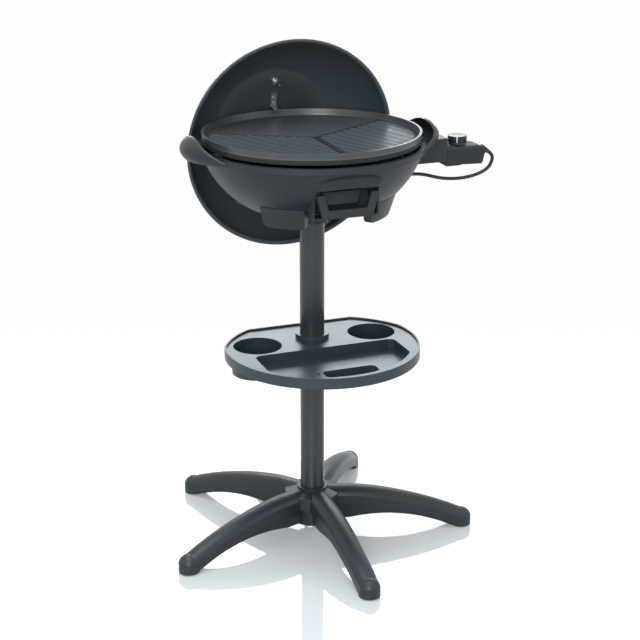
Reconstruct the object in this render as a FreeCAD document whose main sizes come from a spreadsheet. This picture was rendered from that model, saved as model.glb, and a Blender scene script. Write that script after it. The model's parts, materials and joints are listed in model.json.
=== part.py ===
import FreeCAD, Part
import math
import os
import Sketcher

"""Electric grill on a five-legged stand, built round the pole's axis: X right, Y back, Z up."""

# Driving dimensions. Lengths are millimetres, angles degrees.
SIZES = {
    # clearances shared by every fit
    "fit_gap": 0.15,
    "slide_gap": 0.4,
    "running_gap": 0.06,
    "overrun": 20,
    # pole and its inner sleeve
    "pole_diameter": 48,
    "pole_wall": 1.5,
    "joiner_length": 124,
    "joiner_wall": 2,
    "clamp_web": 4,
    "clamp_height": 402,
    # star base
    "hub_floor": 20,
    "hub_plate": 4,
    "hub_top": 97,
    "collar_radius": 31.5,
    "collar_step": 5,
    "hub_deck_radius": 55,
    "hub_deck_top": 85,
    "hub_deck_bottom": 60,
    "hub_boss_radius": 38,
    "seam_radius": 76,
    "stub_start": 32,
    # legs
    "leg_reach": 326,
    "leg_root_half": 24,
    "leg_tip_half": 21,
    "leg_root_top": 94,
    "leg_tip_top": 37,
    "leg_root_under": 60,
    "leg_tip_under": 2,
    "leg_crown": 16,
    "leg_blend": 0.6,
    "keel_width": 26,
    "keel_root_under": 26,
    "keel_arch_radius": 327,
    "keel_cover": 10,
    "keel_lift": 1.5,
    "tongue_start": 49,
    "tongue_half": 14,
    "tongue_under": 64,
    "tongue_top": 83,
    # screws under the legs
    "leg_screw_radius": 62,
    "screw_shank": 2.5,
    "screw_head": 4.6,
    "screw_head_height": 3.5,
    "leg_screw_seat": 50,
    "leg_screw_tip": 76,
    # foot pads
    "pad_radius": 13,
    "pad_height": 4,
    # tray
    "tray_centre": 55,
    "tray_radius": 189,
    "tray_back": 73,
    "tray_back_half": 109,
    "tray_side": 183,
    "tray_side_radius": 190,
    "tray_rim_top": 420,
    "tray_rim_height": 21,
    "tray_wall": 3,
    "tray_lip": 3.5,
    "tray_deck": 3,
    "cup_across": 118.5,
    "cup_behind": 16,
    "cup_radius": 47,
    "cup_depth": 50,
    "well_margin": 17,
    "well_end_radius": 22,
    "well_round": 14,
    "well_front": 183,
    "well_depth": 18,
    "slot_half": 53,
    "slot_front_margin": 17,
    "slot_back": 189,
    "slot_depth": 14,
    "slot_round": 11,
    "tray_sleeve_radius": 33,
    "tray_sleeve_under": 362,
    "tray_sleeve_top": 425,
    # cord clip on the pole
    "clip_height": 574,
    "clip_wall": 2.5,
    "clip_width": 14,
    "clip_bearing": 66.5,
    # socket under the bowl
    "mount_depth": 38,
    "mount_flange": 6,
    "mount_boss_radius": 31,
    "mount_flange_radius": 52,
    "mount_screw_circle": 42,
    "mount_screw_reach": 14,
    "mount_boss_half": 7,
    # bowl
    "bowl_floor": 690,
    "bowl_floor_radius": 128,
    "bowl_wall": 3,
    "bowl_shoulder_radius": 209,
    "bowl_depth": 100,
    "bowl_curve": 172,
    "bowl_rim_radius": 215,
    "bowl_rim_inner": 206,
    "bowl_rim_height": 13,
    "bowl_rim_step": 2,
    "plate_rest_width": 16,
    "plate_rest_bearing": 14,
    "foot_inner": 137,
    "foot_outer": 149,
    "foot_flare": 162,
    "foot_drop": 16,
    "foot_rise": 24,
    "foot_half": 44,
    "foot_taper": 3,
    "foot_round": 10,
    "foot_bearing": 49,
    # side handles of the bowl
    "ear_reach": 255,
    "ear_half_length": 144,
    "ear_half_height": 64,
    "ear_lift": 5,
    "ear_rise": 29,
    "ear_crest_radius": 125,
    "ear_wall": 4,
    # drawer, its housing and rails
    "drawer_half": 55,
    "drawer_lift": 16,
    "drawer_height": 44,
    "drawer_wall": 2,
    "drawer_front": 178,
    "drawer_back": 40,
    "drawer_grip": 9,
    "grip_wall": 14,
    "grip_foot": 15,
    "grip_round": 7,
    "grip_top_half": 60,
    "grip_foot_half": 51,
    "grip_gap": 30,
    "grip_slot": 8,
    "panel_half": 39,
    "panel_foot_half": 31,
    "panel_under": 18,
    "panel_top": 41,
    "panel_depth": 13,
    "panel_slope": 6,
    "panel_round": 5,
    "housing_wall": 4,
    "housing_front": 176,
    "housing_back": 150,
    "rail_width": 5,
    "rail_height": 9,
    "rail_front": 118,
    "scoop_back": 212,
    "scoop_half": 100,
    "scoop_depth": 27,
    "scoop_half_height": 24,
    "scoop_rise": 14,
    # reflector pan and heating element
    "pan_drop": 38,
    "pan_front": 175,
    "pan_sheet": 1.2,
    "pan_hole": 56,
    "pan_flat": 188,
    "pan_lip_rise": 12,
    "element_ring": 120,
    "element_tube": 3.5,
    "element_spread": 12,
    "pin_back": 8,
    "pin_inset": 8,
    "pin_radius": 3,
    # shroud round the terminal pins
    "shroud_sink": 29,
    "shroud_length": 84,
    "shroud_half": 27,
    "shroud_below": 19.85,
    "shroud_above": 26.15,
    "shroud_wall": 2.5,
    # grill plate
    "plate_radius": 207.5,
    "plate_foot_radius": 205.5,
    "plate_rim": 4.5,
    "plate_lift": 5,
    "plate_base": 7,
    "plate_rim_height": 13,
    "rib_pitch": 10.6,
    "rib_width": 4.5,
    "rib_height": 3,
    "rib_margin": 9,
    "channel_width": 7,
    "channel_depth": 2.5,
    "channel_centre": 16,
    "channel_reach": 176,
    "channel_turn": 30,
    "drain_radius": 7,
    "drain_reach": 150,
    # thermostat
    "thermostat_gap": 2,
    "thermostat_length": 85,
    "thermostat_half": 24,
    "thermostat_above": 6.15,
    "split_below": 12.85,
    "thermostat_below": 30.85,
    "thermostat_edge": 6,
    "thermostat_nose": 22,
    "thermostat_chin": 26,
    "collar_length": 20,
    "collar_half": 23,
    "collar_below": 14.85,
    "collar_above": 15.15,
    "contact_depth": 14,
    "probe_radius": 3,
    "probe_length": 122,
    "probe_above": 10.15,
    "housing_screw_inset": 16,
    "housing_screw_head": 3,
    "housing_screw_depth": 12,
    # knob
    "knob_inset": 31,
    "knob_radius": 19,
    "knob_height": 16.5,
    "knob_lift": 2.2,
    "knob_wall": 3,
    "knob_cap_radius": 17.5,
    "knob_cap_height": 2,
    "knob_dish": 0.7,
    "spindle_radius": 3,
    "spindle_depth": 10,
    # strain relief
    "relief_length": 18,
    "relief_root": 6.2,
    "relief_tip": 4.6,
    "relief_rise": 10,
    "relief_droop": 32,
    # lid, in its own frame: axis through the dome, rim at zero
    "lid_overlap": 93.6,
    "lid_drop": 53,
    "lid_lean": 7.6,
    "lid_radius": 211.4,
    "lid_lip": 4,
    "lid_lip_height": 3,
    "lid_sheet": 2,
    "lid_skirt_radius": 206,
    "lid_skirt": 14,
    "lid_disc_radius": 118,
    "lid_depth": 115,
    "lid_curve": 150,
    # lid handle
    "handle_half": 46,
    "handle_post": 8,
    "handle_grip": 10,
    "handle_rise": 36,
    "handle_overhang": 16,
    # hook inside the lid
    "hook_width": 14,
    "hook_sheet": 2.5,
    "hook_gap": 6.5,
    "hook_lip": 5,
    "hook_back": 30,
    "hook_lift": 0.45,
    "rivet_radius": 2.4,
    "rivet_head": 4,
    "rivet_head_height": 1.6,
    # thermometer
    "gauge_up": 96,
    "gauge_radius": 22,
    "gauge_height": 11,
    "gauge_wall": 2,
    "gauge_glass": 1.5,
    "gauge_dial": 0.8,
    "gauge_pivot": 1,
    "gauge_pivot_height": 4,
    "needle_length": 15,
    "needle_width": 2.4,
    "needle_sheet": 0.8,
    "needle_hub": 2.6,
    "stem_radius": 2.6,
    "stem_length": 36,
    "nut_across": 13,
    "nut_height": 6,
    # mains cord and plug
    "cord_diameter": 7,
    "lead_run": 13,
    "plug_run": 26,
    "plug_radius": 18.5,
    "plug_length": 26,
    "plug_neck": 8,
    "plug_neck_length": 26,
    "plug_pin_radius": 2.4,
    "plug_pin_length": 19,
    "plug_pin_spread": 9.5,
}

# Shape of a leg from its root at the hub to the axis of its round tip.
LEG_REACH_SHARES = (0.0, 0.25, 0.5, 0.75, 1.0)
LEG_TOP_SHARES = (1.0, 0.89, 0.68, 0.39, 0.0)
LEG_UNDER_SHARES = (1.0, 0.85, 0.69, 0.41, 0.0)
LEG_ANGLES = {
    "leg_front": -90,
    "leg_front_right": -18,
    "leg_back_right": 54,
    "leg_back_left": 126,
    "leg_front_left": 198,
}
# An arc of a cord's tube takes this share of the shorter of its two runs.
CORD_ARC_SHARE = 0.45

# Route of the mains cord, from the strain relief to the plug.
LEAD_POINTS = [(384, 5, 735), (377, 13, 716.5), (353, 22, 704), (321, 28, 699)]
CORD_POINTS = [
    (284, 33, 702), (246, 36, 714), (210, 40, 715), (175, 44, 699), (140, 47, 673), (92, 44, 654),
    (47, 38, 641), (11.7, 26.9, 606), (11.7, 26.9, 556), (17, 46, 502), (26, 71, 446), (32, 95, 390),
    (31, 104, 320), (28, 108, 245), (26, 110, 170), (27, 112, 102), (31, 121, 51), (39, 144, 16),
    (45, 176, 4), (40, 210, 3.6), (14, 233, 3.6), (-20, 236, 6), (-46, 220, 14),
]
PLUG_ENTRY = (-46, 172, 18.5)
PLUG_BEARING = -72

V = FreeCAD.Vector
UPRIGHT = FreeCAD.Rotation(V(1, 0, 0), 90)
SIDEWAYS = FreeCAD.Rotation(V(0, 1, 0), 90)
NO_TURN = FreeCAD.Rotation()

doc = FreeCAD.newDocument("electric_grill")
sheet = doc.addObject("Spreadsheet::Sheet", "sizes")
sub_parts = []
cord_parts = []


class Size:
    """A length or angle that carries its value and the sheet formula behind it."""

    def __init__(self, value, formula):
        self.value = float(value)
        self.formula = formula

    def __add__(self, other):
        other = as_size(other)
        return Size(self.value + other.value, "(%s + %s)" % (self.formula, other.formula))

    def __sub__(self, other):
        other = as_size(other)
        return Size(self.value - other.value, "(%s - %s)" % (self.formula, other.formula))

    def __mul__(self, other):
        other = as_size(other)
        return Size(self.value * other.value, "(%s * %s)" % (self.formula, other.formula))

    def __truediv__(self, other):
        other = as_size(other)
        return Size(self.value / other.value, "(%s / %s)" % (self.formula, other.formula))

    def __neg__(self):
        return Size(-self.value, "(0 - %s)" % self.formula)

    def __rsub__(self, other):
        return as_size(other) - self

    __radd__ = __add__
    __rmul__ = __mul__


class Sheet:
    """Gives each named dimension of the sheet as a Size, and each place that follows from others."""

    def __getattr__(self, name):
        if name in FOLLOWING:
            return FOLLOWING[name]()
        return Size(SIZES[name], "sizes." + name)


d = Sheet()

# Heights and places that follow from the pieces they belong to.
FOLLOWING = {
    "mount_under": lambda: d.bowl_floor - d.mount_depth,
    "bowl_shoulder": lambda: d.bowl_floor + d.bowl_depth,
    "bowl_rim_top": lambda: d.bowl_shoulder + d.bowl_rim_height,
    "foot_under": lambda: d.bowl_floor - d.foot_drop,
    "foot_root": lambda: d.bowl_floor + d.foot_rise,
    "ear_height": lambda: d.bowl_rim_top + d.ear_lift,
    "ear_top": lambda: d.bowl_rim_top + d.ear_rise,
    "ear_under": lambda: d.bowl_shoulder + d.bowl_rim_step / 2,
    "drawer_under": lambda: d.bowl_floor + d.drawer_lift,
    "drawer_top": lambda: d.drawer_under + d.drawer_height,
    "pan_height": lambda: d.bowl_rim_top - d.pan_drop,
    "plate_under": lambda: d.bowl_rim_top + d.plate_lift,
    "plate_floor": lambda: d.plate_under + d.plate_base,
    "plate_rim_top": lambda: d.plate_floor + d.plate_rim_height,
    "terminal_height": lambda: d.pan_height + d.pan_sheet + d.element_tube + d.fit_gap,
    "shroud_start": lambda: d.bowl_rim_radius - d.shroud_sink,
    "shroud_end": lambda: d.shroud_start + d.shroud_length,
    "shroud_under": lambda: d.terminal_height - d.shroud_below,
    "shroud_top": lambda: d.terminal_height + d.shroud_above,
    "pin_start": lambda: d.shroud_start - d.pin_back,
    "pin_end": lambda: d.shroud_end - d.pin_inset,
    "thermostat_start": lambda: d.shroud_end + d.thermostat_gap,
    "thermostat_end": lambda: d.thermostat_start + d.thermostat_length,
    "thermostat_top": lambda: d.terminal_height + d.thermostat_above,
    "thermostat_split": lambda: d.terminal_height - d.split_below,
    "thermostat_under": lambda: d.terminal_height - d.thermostat_below,
    "collar_start": lambda: d.thermostat_start - d.collar_length,
    "collar_under": lambda: d.terminal_height - d.collar_below,
    "collar_top": lambda: d.terminal_height + d.collar_above,
    "probe_start": lambda: d.thermostat_start - d.probe_length,
    "probe_height": lambda: d.terminal_height + d.probe_above,
    "knob_across": lambda: d.thermostat_start + d.knob_inset,
    "relief_height": lambda: d.thermostat_split + d.relief_rise,
    "lid_back": lambda: d.plate_radius - d.lid_overlap,
    "lid_height": lambda: d.plate_rim_top - d.lid_drop,
}


def as_size(value):
    """A plain number becomes a Size, a Size stays as it is."""
    return value if isinstance(value, Size) else Size(value, repr(float(value)))


def root(size):
    """Square root of a Size."""
    return Size(math.sqrt(size.value), "sqrt(%s)" % size.formula)


def sine(size):
    """Sine of a Size in degrees."""
    return Size(math.sin(math.radians(size.value)), "sin(%s)" % size.formula)


def cosine(size):
    """Cosine of a Size in degrees."""
    return Size(math.cos(math.radians(size.value)), "cos(%s)" % size.formula)


def fill_sheet():
    """Write every driving dimension into the sheet with its alias."""
    for row, (name, value) in enumerate(SIZES.items(), start=1):
        sheet.set("A%d" % row, name)
        sheet.set("B%d" % row, str(value))
        sheet.setAlias("B%d" % row, name)
    doc.recompute()


def bind(obj, name, size):
    """Tie one property of an object to a Size."""
    obj.setExpression(name, as_size(size).formula)


def place(obj, x=0, y=0, z=0, turn=NO_TURN):
    """Put an object at a place bound to the sheet, with a fixed turn."""
    obj.Placement = FreeCAD.Placement(V(), turn)
    for name, size in (("x", x), ("y", y), ("z", z)):
        bind(obj, ".Placement.Base." + name, size)
    return obj


def arc_between(start, end, radius):
    """The arc of a circle from start to end: to the left of the way for a positive radius."""
    way = end - start
    left = V(-way.y, way.x, 0).normalize()
    height = math.sqrt(max(radius * radius - way.Length ** 2 / 4, 0))
    side = 1 if radius > 0 else -1
    centre = (start + end) * 0.5 + left * (side * height)
    first, last = (start, end) if radius > 0 else (end, start)
    circle = Part.Circle(centre, V(0, 0, 1), abs(radius))
    angles = [math.atan2(point.y - centre.y, point.x - centre.x) for point in (first, last)]
    return Part.ArcOfCircle(circle, angles[0], angles[1])


def draw_outline(sketch, points):
    """Add one closed outline. A point is (x, y), or (x, y, radius) where an arc starts from it."""
    first = sketch.GeometryCount
    spots = [V(as_size(p[0]).value, as_size(p[1]).value, 0) for p in points]
    count = len(points)
    ends = []
    for i, point in enumerate(points):
        start, end = spots[i], spots[(i + 1) % count]
        if len(point) > 2:
            radius = as_size(point[2]).value
            sketch.addGeometry(arc_between(start, end, radius), False)
            ends.append((1, 2) if radius > 0 else (2, 1))
        else:
            sketch.addGeometry(Part.LineSegment(start, end), False)
            ends.append((1, 2))
    for i, point in enumerate(points):
        after = (i + 1) % count
        sketch.addConstraint(
            Sketcher.Constraint("Coincident", first + i, ends[i][1], first + after, ends[after][0]))
        for kind, size in (("DistanceX", point[0]), ("DistanceY", point[1])):
            number = sketch.addConstraint(
                Sketcher.Constraint(kind, -1, 1, first + i, ends[i][0], as_size(size).value))
            bind(sketch, "Constraints[%d]" % number, size)
        if len(point) > 2:
            size = as_size(point[2])
            size = size if size.value > 0 else -size
            number = sketch.addConstraint(Sketcher.Constraint("Radius", first + i, size.value))
            bind(sketch, "Constraints[%d]" % number, size)


def draw_circle(sketch, x, y, radius):
    """Add one circle to a sketch, tied to the sheet."""
    index = sketch.addGeometry(
        Part.Circle(V(as_size(x).value, as_size(y).value, 0), V(0, 0, 1), as_size(radius).value), False)
    number = sketch.addConstraint(Sketcher.Constraint("Radius", index, as_size(radius).value))
    bind(sketch, "Constraints[%d]" % number, radius)
    for kind, size in (("DistanceX", x), ("DistanceY", y)):
        number = sketch.addConstraint(Sketcher.Constraint(kind, -1, 1, index, 3, as_size(size).value))
        bind(sketch, "Constraints[%d]" % number, size)


def new_sketch(name, *outlines):
    """A sketch of closed outlines."""
    sketch = doc.addObject("Sketcher::SketchObject", name)
    for points in outlines:
        draw_outline(sketch, points)
    return sketch


def extrude(name, sketch, length, both_ways=False):
    """A solid that a sketch sweeps along its normal."""
    solid = doc.addObject("Part::Extrusion", name)
    solid.Base = sketch
    solid.DirMode = "Normal"
    solid.Solid = True
    solid.Symmetric = both_ways
    bind(solid, "LengthFwd", length)
    return solid


def prism(name, outline, under, top):
    """An upright prism over an outline in plan, between two heights."""
    sketch = place(new_sketch(name + "_plan", outline), z=under)
    return extrude(name, sketch, as_size(top) - under)


def revolve(name, outline, angle=360, start=0):
    """A solid turned about the Z axis from an outline of radius and height."""
    sketch = new_sketch(name + "_section", outline)
    sketch.Placement = FreeCAD.Placement(V(), FreeCAD.Rotation(V(0, 0, 1), start) * UPRIGHT)
    solid = doc.addObject("Part::Revolution", name)
    solid.Source = sketch
    solid.Axis = V(0, 0, 1)
    solid.Solid = True
    bind(solid, "Angle", angle)
    return solid


def turned(label, outline):
    """A turned sub-part: a body with one revolution about its Z axis."""
    body = doc.addObject("PartDesign::Body", label)
    plane = next(o for o in body.Origin.OriginFeatures if o.Role == "XZ_Plane")
    sketch = body.newObject("Sketcher::SketchObject", label + "_section")
    sketch.AttachmentSupport = (plane, [""])
    sketch.MapMode = "FlatFace"
    draw_outline(sketch, outline)
    feature = body.newObject("PartDesign::Revolution", label + "_turn")
    feature.Profile = sketch
    feature.ReferenceAxis = (sketch, ["V_Axis"])
    feature.Angle = 360
    return body


def box(name, low, high):
    """A box between two corners."""
    solid = doc.addObject("Part::Box", name)
    for side, a, b in zip(("Length", "Width", "Height"), low, high):
        bind(solid, side, as_size(b) - a)
    return place(solid, *low)


def cylinder(name, radius, start, length, turn=NO_TURN):
    """A cylinder from a start point along Z, or along the turned Z."""
    solid = doc.addObject("Part::Cylinder", name)
    bind(solid, "Radius", radius)
    bind(solid, "Height", length)
    return place(solid, *start, turn=turn)


def cone(name, first, second, start, length, turn=NO_TURN):
    """A cone between two radii from a start point along the turned Z."""
    solid = doc.addObject("Part::Cone", name)
    bind(solid, "Radius1", first)
    bind(solid, "Radius2", second)
    bind(solid, "Height", length)
    return place(solid, *start, turn=turn)


def ball(name, radius, centre):
    """A sphere about a centre."""
    solid = doc.addObject("Part::Sphere", name)
    bind(solid, "Radius", radius)
    return place(solid, *centre)


def ellipsoid(name, along_x, along_y, along_z, centre):
    """An ellipsoid with three half axes about a centre."""
    solid = doc.addObject("Part::Ellipsoid", name)
    for side, size in (("Radius1", along_z), ("Radius2", along_x), ("Radius3", along_y)):
        bind(solid, side, size)
    solid.Angle1, solid.Angle2, solid.Angle3 = -90, 90, 360
    return place(solid, *centre)


def fuse(name, parts):
    """One solid joined from several."""
    solid = doc.addObject("Part::MultiFuse", name)
    solid.Shapes = parts
    solid.Refine = True
    return solid


def cut(name, base, tools):
    """A solid with every tool taken out of it."""
    tool = tools[0] if len(tools) == 1 else fuse(name + "_tools", tools)
    solid = doc.addObject("Part::Cut", name)
    solid.Base = base
    solid.Tool = tool
    solid.Refine = False
    return solid


def group(name, parts):
    """Separate solids of one kind under one name."""
    solids = doc.addObject("Part::Compound", name)
    solids.Links = parts
    return solids


def common(name, parts):
    """What several solids share."""
    solid = doc.addObject("Part::MultiCommon", name)
    solid.Shapes = parts
    return solid


def rounded(name, solid, radius):
    """A prism with its upright edges rounded."""
    doc.recompute()
    upright = []
    for number, edge in enumerate(solid.Shape.Edges, start=1):
        way = edge.Vertexes[-1].Point - edge.Vertexes[0].Point
        if abs(way.z) > way.Length / 2:
            upright.append((number, radius.value, radius.value))
    fillet = doc.addObject("Part::Fillet", name)
    fillet.Base = solid
    fillet.Edges = upright
    return fillet


def loft(name, sections):
    """A smooth solid through several sections."""
    solid = doc.addObject("Part::Loft", name)
    solid.Sections = sections
    solid.Solid = True
    solid.Ruled = False
    return solid


def crossed(name, side, width, face, start, length):
    """The solid that has one outline from the side and another from the end."""
    place(side, turn=UPRIGHT)
    place(face, start, turn=around(90) * UPRIGHT)
    return common(name, [extrude(name + "_wide", side, width, both_ways=True),
                         extrude(name + "_long", face, length)])


def keep(label, obj, placement=None, is_cord=False):
    """Register a finished sub-part under its label."""
    obj.Label = label
    if placement is not None:
        obj.Placement = placement
    sub_parts.append(obj)
    if is_cord:
        cord_parts.append(obj)
    return obj


def around(angle):
    """A turn about the pole's axis."""
    return FreeCAD.Rotation(V(0, 0, 1), angle)


# Stand: hub, legs, pole

def leg_section(name, reach, half, top, under):
    """One cross-section of a leg that points along X: flat underside, upright flanks, arched crown."""
    shoulder = top - d.leg_crown
    crown = (half * half + d.leg_crown * d.leg_crown) / (d.leg_crown * 2)
    sketch = new_sketch(name, [(-half, under), (half, under), (half, shoulder, crown), (-half, shoulder)])
    return place(sketch, reach, turn=around(90) * UPRIGHT)


def at_leg(solid, angle, reach, across, height):
    """Move a solid to a place given along a leg, across it and in height."""
    a = math.radians(angle)
    return place(solid, reach * math.cos(a) - across * math.sin(a),
                 reach * math.sin(a) + across * math.cos(a), height, around(angle))


def radial_box(name, angle, start, end, half, under, top):
    """A box along one leg between two radii."""
    solid = doc.addObject("Part::Box", name)
    bind(solid, "Length", end - start)
    bind(solid, "Width", half * 2)
    bind(solid, "Height", top - under)
    return at_leg(solid, angle, start, -half, under)


def make_leg(label, angle):
    """One arched leg with its keel, its round tip and the tongue that enters the hub."""
    tip_axis = d.leg_reach - d.leg_tip_half
    start = d.seam_radius + d.fit_gap
    end_half, end_top = d.leg_tip_half - d.leg_blend, d.leg_tip_top - d.leg_blend
    end_under = d.leg_tip_under + d.leg_blend
    sections = []
    for name, share, top_share, under_share in zip(
            "abcde", LEG_REACH_SHARES, LEG_TOP_SHARES, LEG_UNDER_SHARES):
        sections.append(leg_section(
            label + "_section_" + name, start + (tip_axis - start) * share,
            d.leg_root_half + (end_half - d.leg_root_half) * share,
            end_top + (d.leg_root_top - end_top) * top_share,
            end_under + (d.leg_root_under - end_under) * under_share))
    half = d.leg_tip_half
    crown = (half * half + d.leg_crown * d.leg_crown) / (d.leg_crown * 2)
    tip = revolve(label + "_tip", [
        (0, d.leg_tip_under), (half, d.leg_tip_under), (half, d.leg_tip_top - d.leg_crown, crown),
        (0, d.leg_tip_top)])
    place(tip, tip_axis)
    web = place(new_sketch(label + "_web", [
        (start, d.keel_root_under, -d.keel_arch_radius), (tip_axis - half, d.leg_tip_under + d.keel_lift),
        (tip_axis - half / 2, d.leg_tip_under + d.keel_lift),
        (tip_axis - half / 2, d.leg_tip_under + d.keel_cover),
        (start, d.leg_root_under + d.keel_cover)]), turn=UPRIGHT)
    keel = extrude(label + "_keel", web, d.keel_width, both_ways=True)
    tongue = box(label + "_tongue", (d.tongue_start, -d.tongue_half, d.tongue_under),
                 (start + d.keel_cover, d.tongue_half, d.tongue_top))
    body = fuse(label + "_body", [loft(label + "_arm", sections), tip, keel, tongue])
    seat = cylinder(label + "_seat", d.pad_radius + d.fit_gap, (tip_axis, 0, 0), d.pad_height)
    pilot = cylinder(label + "_pilot", d.screw_shank + d.fit_gap,
                     (d.leg_screw_radius, 0, d.tongue_under - d.overrun),
                     d.leg_screw_tip - d.tongue_under + d.overrun + d.fit_gap)
    keep(label, cut(label, body, [seat, pilot]), FreeCAD.Placement(V(), around(angle)))


def make_hub():
    """Star hub: collar and socket for the pole, with a stub and a socket for each leg."""
    socket = d.pole_diameter / 2 + d.fit_gap
    boss = revolve("hub_boss", [
        (0, d.hub_floor), (d.hub_boss_radius, d.hub_floor), (d.hub_boss_radius, d.hub_deck_bottom),
        (d.hub_deck_radius, d.hub_deck_bottom), (d.hub_deck_radius, d.hub_deck_top),
        (d.collar_radius, d.hub_top - d.collar_step), (d.collar_radius, d.hub_top), (socket, d.hub_top),
        (socket, d.hub_floor + d.hub_plate), (0, d.hub_floor + d.hub_plate)])
    solids, hollows = [boss], []
    for name, angle in LEG_ANGLES.items():
        ends = [leg_section("stub_%s_%s" % (place_name, name), reach, d.leg_root_half, d.leg_root_top,
                            d.leg_root_under)
                for place_name, reach in (("inner", d.stub_start), ("outer", d.seam_radius))]
        stub = loft("stub_" + name, ends)
        stub.Placement = FreeCAD.Placement(V(), around(angle))
        solids.append(stub)
        solids.append(radial_box("stub_keel_" + name, angle, d.stub_start, d.seam_radius,
                                 d.keel_width / 2, d.keel_root_under, d.leg_root_under + d.keel_cover))
        hollows.append(radial_box("stub_socket_" + name, angle, d.tongue_start - d.fit_gap,
                                  d.seam_radius + d.overrun, d.tongue_half + d.fit_gap,
                                  d.tongue_under - d.fit_gap, d.tongue_top + d.fit_gap))
        bore = cylinder("stub_bore_" + name, d.screw_head + d.fit_gap, (0, 0, 0), d.leg_screw_seat)
        shank = cylinder("stub_shank_" + name, d.screw_shank + d.fit_gap, (0, 0, 0),
                         d.leg_screw_tip + d.fit_gap)
        for hollow in (bore, shank):
            hollows.append(at_leg(hollow, angle, d.leg_screw_radius, as_size(0), as_size(0)))
    hollows.append(cylinder("hub_bore", socket, (0, 0, d.hub_floor + d.hub_plate), d.hub_top))
    keep("base_hub", cut("base_hub", fuse("hub_star", solids), hollows))


def make_leg_screws():
    """The screw under each stub that holds a leg's tongue."""
    screws = []
    for name, angle in LEG_ANGLES.items():
        head = cylinder("head_" + name, d.screw_head, (0, 0, 0), d.screw_head_height)
        at_leg(head, angle, d.leg_screw_radius, as_size(0), d.leg_screw_seat - d.screw_head_height)
        shank = cylinder("shank_" + name, d.screw_shank, (0, 0, 0), d.leg_screw_tip - d.leg_screw_seat)
        at_leg(shank, angle, d.leg_screw_radius, as_size(0), d.leg_screw_seat)
        screws.append(fuse("screw_" + name, [head, shank]))
    keep("leg_screws", group("leg_screws", screws))


def make_foot_pads():
    """Rubber pads let into the leg tips; the grill stands on them."""
    pads = []
    for name, angle in LEG_ANGLES.items():
        pad = cylinder("pad_" + name, d.pad_radius, (0, 0, 0), d.pad_height)
        pads.append(at_leg(pad, angle, d.leg_reach - d.leg_tip_half, as_size(0), as_size(0)))
    keep("foot_pads", group("foot_pads", pads))


def tube(label, outer, wall, under, top):
    """An upright round tube."""
    inner = outer - wall
    return keep(label, turned(label, [(inner, under), (outer, under), (outer, top), (inner, top)]))


def make_pole():
    """Two pole halves that clamp the tray's web, and the sleeve inside them."""
    radius = d.pole_diameter / 2
    tube("lower_pole", radius, d.pole_wall, d.hub_floor + d.hub_plate, d.clamp_height)
    tube("upper_pole", radius, d.pole_wall, d.clamp_height + d.clamp_web, d.bowl_floor - d.mount_flange)
    middle = d.clamp_height + d.clamp_web / 2
    tube("pole_joiner", radius - d.pole_wall - d.fit_gap, d.joiner_wall,
         middle - d.joiner_length / 2, middle + d.joiner_length / 2)


def make_cord_clip():
    """Saddle on the back of the upper pole with an eye that holds the cord."""
    bearing = SIZES["clip_bearing"]
    radius = d.pole_diameter / 2 + d.fit_gap
    eye_radius = d.cord_diameter / 2 + d.slide_gap
    reach = radius + d.clip_wall / 2 + eye_radius
    under, height = d.clip_height, d.clip_width
    saddle = radial_box("clip_saddle", bearing, radius - d.clip_wall, reach, d.clip_width / 2, under, under + height)
    eye = cylinder("clip_eye", eye_radius + d.clip_wall, (0, 0, 0), height)
    at_leg(eye, bearing, reach, as_size(0), under)
    hole = cylinder("clip_hole", eye_radius, (0, 0, 0), height + d.overrun * 2)
    at_leg(hole, bearing, reach, as_size(0), under - d.overrun)
    bore = cylinder("clip_bore", radius, (0, 0, under - d.overrun), height + d.overrun * 2)
    keep("cord_clip", cut("cord_clip", fuse("clip_body", [saddle, eye]), [hole, bore]))


# Tray

def tray_outline(inset):
    """Plan of the tray: a round front, drawn-in rear corners and a straight back."""
    back, half = d.tray_back - inset, d.tray_back_half - inset / 2
    side, radius = d.tray_side - inset, d.tray_radius - inset
    edge = -d.tray_centre + root(radius * radius - side * side)
    corner = d.tray_side_radius - inset
    return [(half, back), (-half, back, corner), (-side, edge, radius), (0, -d.tray_centre - radius, radius),
            (side, edge, corner)]


def well_outline(grow):
    """Plan of the wide recess, which follows the tray's round front between the cups."""
    radius = d.tray_radius - d.well_margin + grow
    across = d.cup_across + d.cup_radius - d.well_end_radius + grow
    low = -d.tray_centre - root(radius * radius - across * across)
    slot_half = d.slot_half + d.tray_wall * 2 - grow
    step = -d.tray_centre - root(radius * radius - slot_half * slot_half)
    ledge = -(d.well_front - d.tray_wall * 2) - grow
    cup_low = -(d.cup_behind + d.cup_radius + d.tray_wall * 2) + grow
    return [(-across, cup_low), (-across, low, radius), (-slot_half, step), (-slot_half, ledge),
            (slot_half, ledge), (slot_half, step, radius), (across, low), (across, cup_low)]


def slot_outline(grow):
    """Plan of the narrow slot behind the front rim."""
    radius = d.tray_radius - d.slot_front_margin + grow
    half = d.slot_half + grow
    edge = -d.tray_centre - root(radius * radius - half * half)
    back = -d.slot_back + grow
    return [(-half, edge, radius), (half, edge), (half, back), (-half, back)]


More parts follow.
